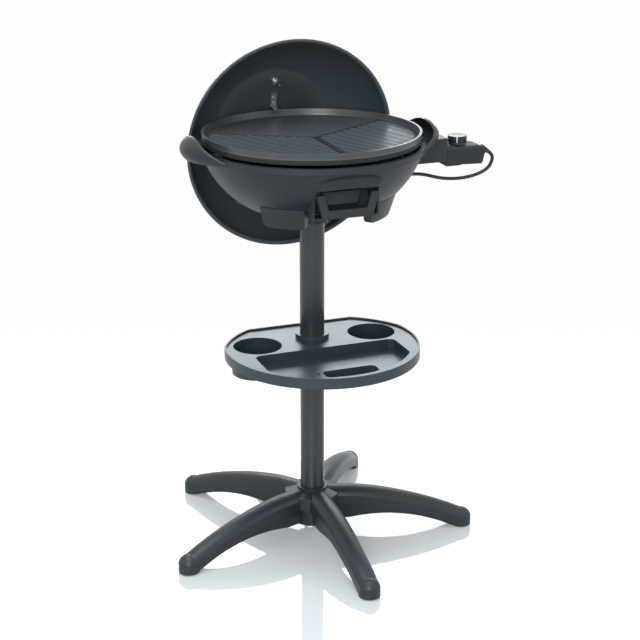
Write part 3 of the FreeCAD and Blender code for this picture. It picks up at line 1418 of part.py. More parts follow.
def cord_tube(label, points):
    """A free stretch of the cord as one round tube."""
    path, radii = cord_path(points)
    radius = SIZES["cord_diameter"] / 2
    first = path.Edges[0]
    start = first.valueAt(first.FirstParameter)
    way = first.tangentAt(first.FirstParameter)
    ring = Part.Wire([Part.Circle(start, way, radius).toShape()])
    shape = path.makePipeShell([ring], True, False)
    volume = math.pi * radius ** 2 * path.Length
    print("%s: length %.1f, least radius %.1f, volume %.4f of its section times length"
          % (label, path.Length, min(radii), shape.Volume / volume))
    print("  radii", " ".join("%.0f" % r for r in radii))
    solid = doc.addObject("Part::Feature", label)
    solid.Shape = shape
    return keep(label, solid, is_cord=True)


def relief_way():
    """Direction in which the strain relief leaves the thermostat."""
    droop = math.radians(SIZES["relief_droop"])
    return V(math.cos(droop), 0, -math.sin(droop))


def make_cord(cover, base):
    """Strain relief, the cord's two stretches and the plug with its pins."""
    turn = FreeCAD.Rotation(V(0, 1, 0), 90 + SIZES["relief_droop"])
    start = V((d.thermostat_end - d.relief_root / 3).value, 0, d.relief_height.value)
    relief = cone("relief_cone", d.relief_root, d.relief_tip,
                  (d.thermostat_end - d.relief_root / 3, 0, d.relief_height), d.relief_length, turn)
    keep("strain_relief", cut("strain_relief", relief, [cover, base]))
    leave = start + relief_way() * SIZES["relief_length"]
    meet = (V(*LEAD_POINTS[-1]) + V(*CORD_POINTS[0])) * 0.5
    cord_tube("cord_lead", [leave, leave + relief_way() * SIZES["lead_run"]] + LEAD_POINTS + [meet])
    entry = V(*PLUG_ENTRY)
    cord_tube("power_cord", [meet] + CORD_POINTS + [entry - plug_way() * SIZES["plug_run"], entry])
    make_plug()


def plug_way():
    """Direction in which the plug points."""
    bearing = math.radians(PLUG_BEARING)
    return V(math.cos(bearing), math.sin(bearing), 0)


def make_plug():
    """Mains plug that lies on the floor behind the base, and its two pins."""
    frame = FreeCAD.Placement(V(*PLUG_ENTRY), FreeCAD.Rotation(V(0, 0, 1), plug_way()))
    neck, length = d.plug_neck_length, d.plug_length
    keep("power_plug", turned("power_plug", [
        (0, 0), (d.plug_neck * 0.6, 0), (d.plug_neck, neck), (d.plug_radius, neck + d.plug_neck / 2),
        (d.plug_radius, neck + length), (0, neck + length)]), frame, is_cord=True)
    pins = []
    for side, name in ((-1, "left"), (1, "right")):
        pins.append(cylinder("plug_pin_" + name, d.plug_pin_radius,
                             (0, d.plug_pin_spread * side, neck + length), d.plug_pin_length))
    keep("plug_pins", group("plug_pins", pins), frame, is_cord=True)


def check(objects):
    """Stop if any object failed, or a sub-part has no valid solid."""
    bad = [o.Label for o in objects if "Invalid" in o.State or "Error" in o.State]
    for part in sub_parts:
        shape = part.Shape
        if shape.isNull() or not shape.isValid() or not shape.Solids:
            bad.append(part.Label)
    if bad:
        raise RuntimeError("failed: " + ", ".join(bad))


def centre_on_floor():
    """Move every sub-part so that the object's box, without its cord, stands centred on the origin."""
    whole = FreeCAD.BoundBox()
    for part in sub_parts:
        if part not in cord_parts:
            whole.add(part.Shape.optimalBoundingBox(False))
    shift = V(-whole.Center.x, -whole.Center.y, 0)
    for part in sub_parts:
        part.Placement = FreeCAD.Placement(shift, NO_TURN).multiply(part.Placement)
    print("pole axis at %.3f, %.3f; size %.1f x %.1f x %.1f"
          % (shift.x, shift.y, whole.XLength, whole.YLength, whole.ZLength))


def main():
    """Build every sub-part, check it, centre the model and write one file for each."""
    fill_sheet()
    make_hub()
    for label, angle in LEG_ANGLES.items():
        make_leg(label, angle)
    make_leg_screws()
    make_foot_pads()
    make_pole()
    make_cord_clip()
    make_tray()
    make_mount()
    make_bowl()
    make_reflector()
    height = make_element()
    make_shroud(height)
    make_plate()
    make_drawer()
    cover, base = make_thermostat(height)
    make_knob()
    make_lid()
    make_lid_handle()
    make_hook()
    make_thermometer()
    make_cord(cover, base)
    doc.recompute()
    check(doc.Objects)
    centre_on_floor()
    doc.recompute()
    check(doc.Objects)
    os.makedirs("parts", exist_ok=True)
    for part in sub_parts:
        part.Shape.exportStep(os.path.join("parts", part.Label + ".step"))
    print("%d sub-parts written" % len(sub_parts))


if __name__ == "__main__":
    main()
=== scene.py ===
"""Electric grill on a five-legged stand: studio, mains cord, finishes and fine details on the fixed frame."""
import json
import logging
import math
from dataclasses import dataclass, field
from enum import Enum
from typing import ClassVar, Dict, List, Optional, Sequence, Tuple, Union

import bmesh
import bpy
from mathutils import Matrix, Vector


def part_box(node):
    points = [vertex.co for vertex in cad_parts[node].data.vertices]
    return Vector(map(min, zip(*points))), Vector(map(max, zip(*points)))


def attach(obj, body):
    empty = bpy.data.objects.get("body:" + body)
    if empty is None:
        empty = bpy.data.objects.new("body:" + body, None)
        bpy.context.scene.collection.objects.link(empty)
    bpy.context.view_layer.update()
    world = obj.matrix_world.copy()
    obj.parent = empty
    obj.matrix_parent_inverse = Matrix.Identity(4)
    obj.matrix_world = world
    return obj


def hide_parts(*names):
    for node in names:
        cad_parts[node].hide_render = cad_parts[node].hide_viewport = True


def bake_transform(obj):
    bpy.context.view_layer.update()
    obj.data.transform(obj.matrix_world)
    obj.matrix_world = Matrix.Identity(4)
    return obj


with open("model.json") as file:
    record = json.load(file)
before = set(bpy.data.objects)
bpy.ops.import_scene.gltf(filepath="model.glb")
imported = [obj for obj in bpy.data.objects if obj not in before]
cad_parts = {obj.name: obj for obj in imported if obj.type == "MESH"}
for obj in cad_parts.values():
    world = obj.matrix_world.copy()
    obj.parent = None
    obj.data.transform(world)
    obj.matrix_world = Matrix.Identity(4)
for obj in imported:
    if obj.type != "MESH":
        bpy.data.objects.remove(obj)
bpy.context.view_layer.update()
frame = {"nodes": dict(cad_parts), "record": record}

LOG = logging.getLogger("electric_grill")

Colour = Tuple[float, float, float]
Point = Tuple[float, float, float]
Span = Tuple[float, float]
Term = Union["Wire", float, int, Sequence[float]]
Owner = Union[bpy.types.Material, bpy.types.World]

MM_PER_M = 1000.0
TINY = 1e-9
UP = (0.0, 0.0, 1.0)
WHITE = (1.0, 1.0, 1.0)


class Body(Enum):
    """The bodies that the scene's own pieces ride on."""

    STAND = "stand"
    THERMOSTAT = "thermostat"
    KNOB = "knob"


class Edge(Enum):
    """How far a piece's corners are rounded, in metres."""

    KEEN = 0.0
    SHEET = 0.0003
    CRISP = 0.0006
    MOULDED = 0.0011
    SOFT = 0.0022
    ROUND = 0.0032


class Maths(Enum):
    """The operations that the wires use."""

    ADD = "ADD"
    SUBTRACT = "SUBTRACT"
    MULTIPLY = "MULTIPLY"
    POWER = "POWER"
    OVER = "GREATER_THAN"
    UNDER = "LESS_THAN"
    ANGLE = "ARCTAN2"
    ZIGZAG = "PINGPONG"
    SIZE = "ABSOLUTE"


def pole_axis() -> Vector:
    """The floor point under the middle of the pole."""
    low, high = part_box("upper_pole")
    return Vector(((low.x + high.x) / 2, (low.y + high.y) / 2, 0.0))


POLE = pole_axis()


def beside_pole(across: float, back: float, up: float) -> Vector:
    """Turn millimetres from the pole's axis into a point of the frame.

    Args:
        across: millimetres to the thermostat's side.
        back: millimetres to the lid's side.
        up: millimetres above the floor.

    Returns:
        The point in metres.
    """
    return POLE + Vector((across, back, up)) / MM_PER_M


class Wire:
    """An output socket of a finish's tree, with arithmetic that adds Math nodes."""

    def __init__(self, tree: "FinishTree", socket: bpy.types.NodeSocket) -> None:
        """Keep the tree and the socket."""
        self.tree = tree
        self.socket = socket

    def math(self, operation: Maths, first: Term, second: Term = 0.0) -> "Wire":
        """Join two values by a Math node.

        Args:
            operation: what the node does.
            first: its first value.
            second: its second value.

        Returns:
            The node's result.
        """
        return self.tree.node("ShaderNodeMath", {"operation": operation.value}, {0: first, 1: second})

    def __add__(self, other: Term) -> "Wire":
        """This value plus the other."""
        return self.math(Maths.ADD, self, other)

    def __radd__(self, other: Term) -> "Wire":
        """The other value plus this."""
        return self.math(Maths.ADD, other, self)

    def __sub__(self, other: Term) -> "Wire":
        """This value less the other."""
        return self.math(Maths.SUBTRACT, self, other)

    def __rsub__(self, other: Term) -> "Wire":
        """The other value less this."""
        return self.math(Maths.SUBTRACT, other, self)

    def __mul__(self, other: Term) -> "Wire":
        """This value times the other."""
        return self.math(Maths.MULTIPLY, self, other)

    def __rmul__(self, other: Term) -> "Wire":
        """The other value times this."""
        return self.math(Maths.MULTIPLY, other, self)

    def __pow__(self, other: Term) -> "Wire":
        """This value to the other's power."""
        return self.math(Maths.POWER, self, other)

    def __rpow__(self, other: Term) -> "Wire":
        """The other value to this power."""
        return self.math(Maths.POWER, other, self)

    def __gt__(self, other: Term) -> "Wire":
        """One where this is over the other, else nought."""
        return self.math(Maths.OVER, self, other)

    def __lt__(self, other: Term) -> "Wire":
        """One where this is under the other, else nought."""
        return self.math(Maths.UNDER, self, other)

    def __abs__(self) -> "Wire":
        """This value without its sign."""
        return self.math(Maths.SIZE, self)


class FinishTree:
    """The node tree of one material or world, from its coordinates to its output."""

    def __init__(self, owner: Owner) -> None:
        """Empty the tree of a material or world."""
        owner.use_nodes = True
        self.owner = owner
        self.links = owner.node_tree.links
        self.nodes = owner.node_tree.nodes
        self.nodes.clear()

    def node(self, kind: str, settings: Optional[Dict[str, object]] = None,
             inputs: Optional[Dict[Union[str, int], Term]] = None, output: Union[str, int] = 0) -> Wire:
        """Add a node, set it and feed its sockets.

        Args:
            kind: the node's type.
            settings: its properties, set first.
            inputs: values or wires by socket name or number.
            output: the socket to hand back.

        Returns:
            The wire of that output, or of the first input where the node closes the tree.
        """
        made = self.nodes.new(kind)
        for name, value in (settings or {}).items():
            setattr(made, name, value)
        for name, value in (inputs or {}).items():
            socket = made.inputs[name]
            if isinstance(value, Wire):
                self.links.new(value.socket, socket)
            elif socket.type == "RGBA" and len(value) == 3:
                socket.default_value = (*value, 1.0)
            else:
                socket.default_value = value
        return Wire(self, made.outputs[output]) if made.outputs else Wire(self, made.inputs[0])

    def place(self) -> Wire:
        """Where a point is on the piece, in metres of the frame at rest."""
        return self.node("ShaderNodeTexCoord", output="Object")

    def facing(self) -> Wire:
        """The way a point faces."""
        return self.node("ShaderNodeNewGeometry", output="Normal")

    def shifted(self, vector: Wire, by: Sequence[float]) -> Wire:
        """Vector less a fixed point."""
        return self.node("ShaderNodeVectorMath", {"operation": "SUBTRACT"}, {0: vector, 1: tuple(by)})

    def stretched(self, vector: Wire, by: Sequence[float]) -> Wire:
        """Vector times a fixed one, axis by axis."""
        return self.node("ShaderNodeVectorMath", {"operation": "MULTIPLY"}, {0: vector, 1: tuple(by)})

    def along(self, vector: Wire, way: Sequence[float]) -> Wire:
        """How far a vector goes in a direction."""
        return self.node("ShaderNodeVectorMath", {"operation": "DOT_PRODUCT"},
                         {0: vector, 1: tuple(way)}, "Value")

    def reach(self, vector: Wire) -> Wire:
        """A vector's length."""
        return self.node("ShaderNodeVectorMath", {"operation": "LENGTH"}, {0: vector}, "Value")

    def off_axis(self, middle: Point, axis: Point) -> Wire:
        """How far a point of the piece is from a line.

        Args:
            middle: a point of the line.
            axis: the line's direction, of length one.

        Returns:
            The distance in metres.
        """
        spoke = self.shifted(self.place(), middle)
        length = self.along(spoke, axis)
        return (self.reach(spoke) ** 2.0 - length * length + TINY) ** 0.5

    def rings(self, radius: Wire, per_metre: float, detail: float) -> Wire:
        """Uneven rings about a middle.

        Args:
            radius: the distance from the middle.
            per_metre: how dense they are.
            detail: how many finer layers they have.

        Returns:
            The value from 0 to 1.
        """
        return self.node("ShaderNodeTexNoise", {"noise_dimensions": "1D"},
                         {"W": radius * per_metre, "Detail": detail})

    def noise(self, grain: float, detail: float = 2.0, where: Optional[Wire] = None,
              rough: float = 0.5) -> Wire:
        """Cloudy values from 0 to 1.

        Args:
            grain: size of one cloud in metres.
            detail: how many finer layers it has.
            where: coordinates, the piece's own if left out.
            rough: weight of the finer layers.

        Returns:
            The value.
        """
        return self.node("ShaderNodeTexNoise", inputs={
            "Vector": where or self.place(), "Scale": 1.0 / grain, "Detail": detail, "Roughness": rough})

    def cells(self, grain: float, where: Optional[Wire] = None) -> Wire:
        """Distance from the middles of scattered cells.

        Args:
            grain: size of one cell in metres.
            where: coordinates, the piece's own if left out.

        Returns:
            The distance as a share of a cell.
        """
        return self.node("ShaderNodeTexVoronoi", output="Distance", inputs={
            "Vector": where or self.place(), "Scale": 1.0 / grain})

    def step(self, value: Wire, start: float, end: float) -> Wire:
        """Rise smoothly from 0 to 1 between two values.

        Args:
            value: the value.
            start: where the rise starts.
            end: where it ends.

        Returns:
            The share.
        """
        return self.node("ShaderNodeMapRange", {"interpolation_type": "SMOOTHSTEP"},
                         {"Value": value, "From Min": start, "From Max": end})

    def mixed(self, share: Term, first: Term, second: Term) -> Wire:
        """Blend two colours.

        Args:
            share: how much of the second.
            first: a colour or its wire.
            second: a colour or its wire.

        Returns:
            The colour.
        """
        return self.node("ShaderNodeMix", {"data_type": "RGBA"}, {0: share, 6: first, 7: second}, 2)

    def bump(self, height: Wire, depth: float, strength: float = 1.0) -> Wire:
        """Turn a height from 0 to 1 into a normal.

        Args:
            height: the height.
            depth: metres from the lowest to the highest.
            strength: how much of it shows.

        Returns:
            The normal.
        """
        return self.node("ShaderNodeBump", inputs={"Strength": strength, "Distance": depth, "Height": height})

    def surface(self, inputs: Dict[Union[str, int], Term]) -> bpy.types.Material:
        """Close the tree with one shader.

        Args:
            inputs: the shader's sockets.

        Returns:
            The material.
        """
        shader = self.node("ShaderNodeBsdfPrincipled", inputs=inputs)
        self.node("ShaderNodeOutputMaterial", inputs={"Surface": shader})
        return self.owner


@dataclass(frozen=True)
class Finish:
    """A surface finish: its name, colour and how dull it is."""

    name: str
    colour: Colour
    dullness: float

    def material(self) -> bpy.types.Material:
        """Make the finish's material.

        Returns:
            The material.
        """
        raise NotImplementedError(self.name)

    def shade(self, factor: float) -> Colour:
        """The colour made lighter or darker."""
        return tuple(min(1.0, part * factor) for part in self.colour)

    def tree(self) -> FinishTree:
        """An empty tree on a new material of the finish's name."""
        return FinishTree(bpy.data.materials.new(self.name))


@dataclass(frozen=True)
class MouldedPlastic(Finish):
    """Plastic from a spark-worn mould: fine grain, slow clouds, lighter spots on top faces, partly dust,
    partly painted light.
    """

    grain: float = 0.0009
    depth: float = 0.000035
    # How much upward faces are lightened: partly dust, partly painted light on the tops.
    dust_and_top_light: float = 0.35
    cloud: float = 0.11
    flow: float = 0.03
    mote: float = 0.02
    bend: float = 1.42

    def material(self) -> bpy.types.Material:
        """Make the moulded plastic.

        Returns:
            The material.
        """
        tree = self.tree()
        grain = tree.noise(self.grain, 3.0)
        cloud = tree.noise(self.cloud, 3.0)
        flow = tree.noise(self.flow, 2.0, tree.stretched(tree.place(), (1.0, 1.0, 0.25)))
        # Upward faces get lighter spots: partly dust, partly painted light on the tops.
        up = tree.step(tree.along(tree.facing(), UP), 0.75, 1.0)
        dust_and_top_light = up * tree.step(tree.noise(self.mote, 4.0, rough=0.65), 0.35, 0.8) * self.dust_and_top_light
        base = tree.mixed(cloud, self.shade(0.86), self.shade(1.16))
        base = tree.mixed(flow * 0.2, base, self.shade(1.3))
        base = tree.mixed(dust_and_top_light * 0.25, base, self.shade(2.2))
        dull = self.dullness + (cloud - 0.5) * 0.1 + (grain - 0.5) * 0.08 + dust_and_top_light * 0.08
        return tree.surface({"Base Color": base, "Roughness": dull, "IOR": self.bend,
                             "Normal": tree.bump(grain, self.depth, 0.7)})


@dataclass(frozen=True)
class PowderCoat(Finish):
    """Baked powder on a steel tube: orange peel and a few rubbed streaks down its length."""

    peel: float = 0.0016
    depth: float = 0.00003
    rub: float = 0.006
    cloud: float = 0.08

    def material(self) -> bpy.types.Material:
        """Make the powder coat.

        Returns:
            The material.
        """
        tree = self.tree()
        peel = tree.cells(self.peel) * 0.6 + tree.noise(self.peel * 1.7, 2.0) * 0.4
        rub = tree.noise(self.rub, 3.0, tree.stretched(tree.place(), (1.0, 1.0, 0.04)))
        cloud = tree.noise(self.cloud)
        base = tree.mixed(cloud, self.shade(0.9), self.shade(1.12))
        dull = self.dullness + (cloud - 0.5) * 0.06 + (rub - 0.5) * 0.1
        return tree.surface({"Base Color": base, "Roughness": dull,
                             "Normal": tree.bump(peel, self.depth, 0.6)})


@dataclass(frozen=True)
class Enamel(Finish):
    """Stove enamel on the pressed lid: a low sheen, wiping marks and painted shade on the inside of its
    middle.
    """

    middle: Point = (0.0, 0.0, 0.0)
    axis: Point = (0.0, 1.0, 0.0)
    peel: float = 0.0024
    depth: float = 0.00004
    wipe: float = 0.09
    cloud: float = 0.15
    # Radii in metres over which the painted shade inside the dome's middle fades out.
    middle_painted_shade: Span = (0.075, 0.13)

    def material(self) -> bpy.types.Material:
        """Make the enamel.

        Returns:
            The material.
        """
        tree = self.tree()
        peel = tree.noise(self.peel, 2.0)
        wipe = tree.noise(self.wipe, 3.0, tree.stretched(tree.place(), (1.0, 1.0, 0.4)))
        cloud = tree.noise(self.cloud, 2.0)
        radius = tree.off_axis(self.middle, self.axis)
        # Painted shade: the inside of the dome is darkened round its middle.
        inside = 1.0 - tree.step(tree.along(tree.facing(), self.axis), -0.3, 0.1)
        middle_painted_shade = inside * (1.0 - tree.step(radius + (cloud - 0.5) * 0.02, *self.middle_painted_shade))
        base = tree.mixed(cloud, self.shade(0.85), self.shade(1.2))
        base = tree.mixed(middle_painted_shade * 0.85, base, self.shade(0.35))
        dull = self.dullness + (wipe - 0.5) * 0.14 + middle_painted_shade * 0.12
        return tree.surface({"Base Color": base, "Roughness": dull, "Coat Roughness": 0.3,
                             "Coat Weight": 0.15, "Normal": tree.bump(peel, self.depth, 0.5)})


@dataclass(frozen=True)
class NonStick(Finish):
    """Sprayed coating on the cast plate: flecks, a sandy tooth, wiping rings, painted shade in the grooves
    and a painted highlight on the ribs' tops.

    Heights are metres over the middle, which lies between the ribs' tops and their grooves.
    """

    middle: Point = (0.0, 0.0, 0.0)
    fleck: float = 0.0011
    depth: float = 0.00004
    arm_slope: float = 0.577
    rib_start: Span = (0.0, 0.003)
    # Height spans of the painted shade in the grooves and of the painted highlight on the ribs' tops.
    groove_painted_shade: Span = (-0.0008, 0.0008)
    crest_painted_highlight: Span = (0.0008, 0.0014)
    rim: Span = (0.002, 0.003)
    patch: float = 0.004
    cloud: float = 0.05

    def material(self) -> bpy.types.Material:
        """Make the coating.

        Returns:
            The material.
        """
        tree = self.tree()
        tooth = tree.noise(self.fleck * 0.6, 2.0)
        patch = tree.step(tree.noise(self.patch, 2.0), 0.45, 0.6)
        fleck = tree.step(tree.cells(self.fleck), 0.17, 0.1) * patch
        spoke = tree.shifted(tree.place(), self.middle)
        flat = tree.stretched(spoke, (1.0, 1.0, 0.0))
        height = tree.along(spoke, UP)
        ahead = abs(tree.along(spoke, (1, 0, 0))) * self.arm_slope - tree.along(spoke, (0, 1, 0))
        ribbed = tree.step(ahead, *self.rib_start)
        # Painted shade: the grooves between the ribs are darkened.
        groove_painted_shade = (1.0 - tree.step(height, *self.groove_painted_shade)) * ribbed
        # Painted highlight: the ribs' tops are lightened, short of the rim.
        crest_painted_highlight = tree.step(height, *self.crest_painted_highlight) * (1.0 - tree.step(height, *self.rim)) * ribbed
        rings = tree.rings(tree.reach(flat), 260.0, 3.0)
        cloud = tree.noise(self.cloud, 4.0)
        base = tree.mixed(cloud, self.shade(0.82), self.shade(1.22))
        base = tree.mixed(groove_painted_shade * 0.92, base, self.shade(0.1))
        base = tree.mixed(crest_painted_highlight * 0.8, base, self.shade(2.0))
        base = tree.mixed(fleck * 0.5, base, self.shade(3.0))
        dull = self.dullness + (rings - 0.5) * 0.12 + (cloud - 0.5) * 0.12 + groove_painted_shade * 0.4
        return tree.surface({"Base Color": base, "Roughness": dull,
                             "Normal": tree.bump(tooth, self.depth, 0.6)})


@dataclass(frozen=True)
class SheetMetal(Finish):
    """Bare or plated steel with lines rolled along one axis."""

    lines: Point = (1.0, 1.0, 0.03)
    stain: Optional[Colour] = None
    line: float = 0.0007
    cloud: float = 0.02
    depth: float = 0.00002

    def material(self) -> bpy.types.Material:
        """Make the metal.

        Returns:
            The material.
        """
        tree = self.tree()
        line = tree.noise(self.line, 3.0, tree.stretched(tree.place(), self.lines))
        cloud = tree.noise(self.cloud, 4.0, rough=0.6)
        base = tree.mixed(cloud, self.shade(0.85), self.shade(1.1))
        if self.stain:
            base = tree.mixed(tree.step(cloud, 0.4, 0.65) * 0.8, base, self.stain)
        dull = self.dullness + (line - 0.5) * 0.2 + (cloud - 0.5) * 0.15
        return tree.surface({"Base Color": base, "Metallic": 1.0, "Roughness": dull,
                             "Normal": tree.bump(line, self.depth, 0.5)})


@dataclass(frozen=True)
class TurnedMetal(Finish):
    """Silver metal with fine rings round an axis, as off a lathe."""

    middle: Point = (0.0, 0.0, 0.0)
    axis: Point = UP
    rings_per_metre: float = 4000.0
    cloud: float = 0.006
    depth: float = 0.000012

    def material(self) -> bpy.types.Material:
        """Make the turned metal.

        Returns:
            The material.
        """
        tree = self.tree()
        ring = tree.rings(tree.off_axis(self.middle, self.axis), self.rings_per_metre, 2.0)
        cloud = tree.noise(self.cloud, 3.0)
        base = tree.mixed(ring, self.shade(0.86), self.shade(1.08))
        dull = self.dullness + (ring - 0.5) * 0.16 + (cloud - 0.5) * 0.1
        return tree.surface({"Base Color": base, "Metallic": 1.0, "Roughness": dull,
                             "Normal": tree.bump(ring, self.depth, 0.5)})


@dataclass(frozen=True)
class Rubber(Finish):
    """Soft black rubber or sheath: dull, with a fine tooth and handling marks."""

    tooth: float = 0.0006
    mark: float = 0.018
    depth: float = 0.00002

    def material(self) -> bpy.types.Material:
        """Make the rubber.

        Returns:
            The material.
        """
        tree = self.tree()
        tooth = tree.noise(self.tooth, 2.0)
        mark = tree.noise(self.mark, 4.0, rough=0.6)
        base = tree.mixed(mark, self.shade(0.8), self.shade(1.35))
        dull = self.dullness + (mark - 0.5) * 0.18
        return tree.surface({"Base Color": base, "Roughness": dull,
                             "Normal": tree.bump(tooth, self.depth, 0.6)})


@dataclass(frozen=True)
class DialFace(Finish):
    """White dial with a ring of ticks and a warm band at the hot end.

    Radii are in metres and turns in degrees from the top. Ticks have half their gap and half their width.
    """

    middle: Point = (0.0, 0.0, 0.0)
    axis: Point = (0.0, 1.0, 0.0)
    upward: Point = UP
    ink: Colour = (0.03, 0.03, 0.03)
    warm: Colour = (0.6, 0.08, 0.04)
    fine_ring: Span = (0.0155, 0.0175)
    coarse_ring: Span = (0.0138, 0.0175)
    warm_ring: Span = (0.0179, 0.0189)
    fine_ticks: Span = (4.5, 0.55)
    coarse_ticks: Span = (13.5, 1.1)
    sweep: float = 136.0
    warm_turn: float = 40.0
    cloud: float = 0.004

    def ticks(self, turn: Wire, half_gap: float, half_width: float) -> Wire:
        """One on evenly spaced spokes, else nought.

        Args:
            turn: the angle in degrees.
            half_gap: half the angle between two ticks.
            half_width: half a tick's own angle.

        Returns:
            The mask.
        """
        return turn.math(Maths.ZIGZAG, turn + 360.0, half_gap) < half_width

    def within(self, radius: Wire, ring: Span) -> Wire:
        """One inside a ring, else nought."""
        return (radius > ring[0]) * (radius < ring[1])

    def material(self) -> bpy.types.Material:
        """Make the printed dial.

        Returns:
            The material.
        """
        tree = self.tree()
        spoke = tree.shifted(tree.place(), self.middle)
        side = Vector(self.upward).cross(Vector(self.axis))
        up = tree.along(spoke, self.upward)
        right = tree.along(spoke, tuple(side))
        turn = up.math(Maths.ANGLE, right, up) * math.degrees(1.0)
        radius = (up * up + right * right) ** 0.5
        open_part = abs(turn) < self.sweep
        fine = self.ticks(turn, *self.fine_ticks) * self.within(radius, self.fine_ring)
        coarse = self.ticks(turn, *self.coarse_ticks) * self.within(radius, self.coarse_ring)
        band = self.within(radius, self.warm_ring) * (turn > self.warm_turn)
        paper = tree.mixed(tree.noise(self.cloud), self.shade(0.96), self.shade(1.02))
        shown = tree.mixed(band * open_part, paper, self.warm)
        shown = tree.mixed((fine + coarse) * open_part, shown, self.ink)
        return tree.surface({"Base Color": shown, "Roughness": self.dullness})


@dataclass(frozen=True)
class ClearGlass(Finish):
    """Window glass of the thermometer with faint smears."""

    smear: float = 0.01
    bend: float = 1.45

    def material(self) -> bpy.types.Material:
        """Make the glass.

        Returns:
            The material.
        """
        tree = self.tree()
        smear = tree.step(tree.noise(self.smear, 3.0), 0.4, 0.8) * 0.08 + self.dullness
        return tree.surface({"Base Color": self.colour, "Roughness": smear, "Transmission Weight": 1.0,
                             "IOR": self.bend})


@dataclass
class PaintShop:
    """Makes each finish once and puts it on pieces."""

    made: Dict[str, bpy.types.Material] = field(default_factory=dict)

    def coat(self, piece: bpy.types.Object, finish: Finish) -> None:
        """Put a finish on a piece, alone.

        Args:
            piece: the object.
            finish: what it gets.
        """
        if finish.name not in self.made:
            self.made[finish.name] = finish.material()
        piece.data.materials.clear()
        piece.data.materials.append(self.made[finish.name])


@dataclass(frozen=True)
class Softbox:
    """A soft light: place and aim in millimetres beside the pole, size in metres and power in watts."""

    name: str
    at: Point
    aim: Point
    size: Span
    power: float
    floor_only: bool = False

    def hang(self, tint: Colour, floor: bpy.types.Object) -> None:
        """Hang the light.

        Args:
            tint: its colour.
            floor: the floor, where a light for the floor alone is mirrored.
        """
        data = bpy.data.lights.new(self.name, "AREA")
        data.shape = "RECTANGLE"
        data.size, data.size_y = self.size
        data.energy = self.power
        data.color = tint
        lamp = bpy.data.objects.new(self.name, data)
        lamp.visible_camera = False
        if self.floor_only:
            lamp.visible_diffuse = False
            lit = bpy.data.collections.new(f"lit_by_{self.name}")
            lit.objects.link(floor)
            lamp.light_linking.receiver_collection = lit
        bpy.context.scene.collection.objects.link(lamp)
        place = beside_pole(*self.at)
        turn = (beside_pole(*self.aim) - place).to_track_quat("-Z", "Y")
        lamp.matrix_world = Matrix.Translation(place) @ turn.to_matrix().to_4x4()


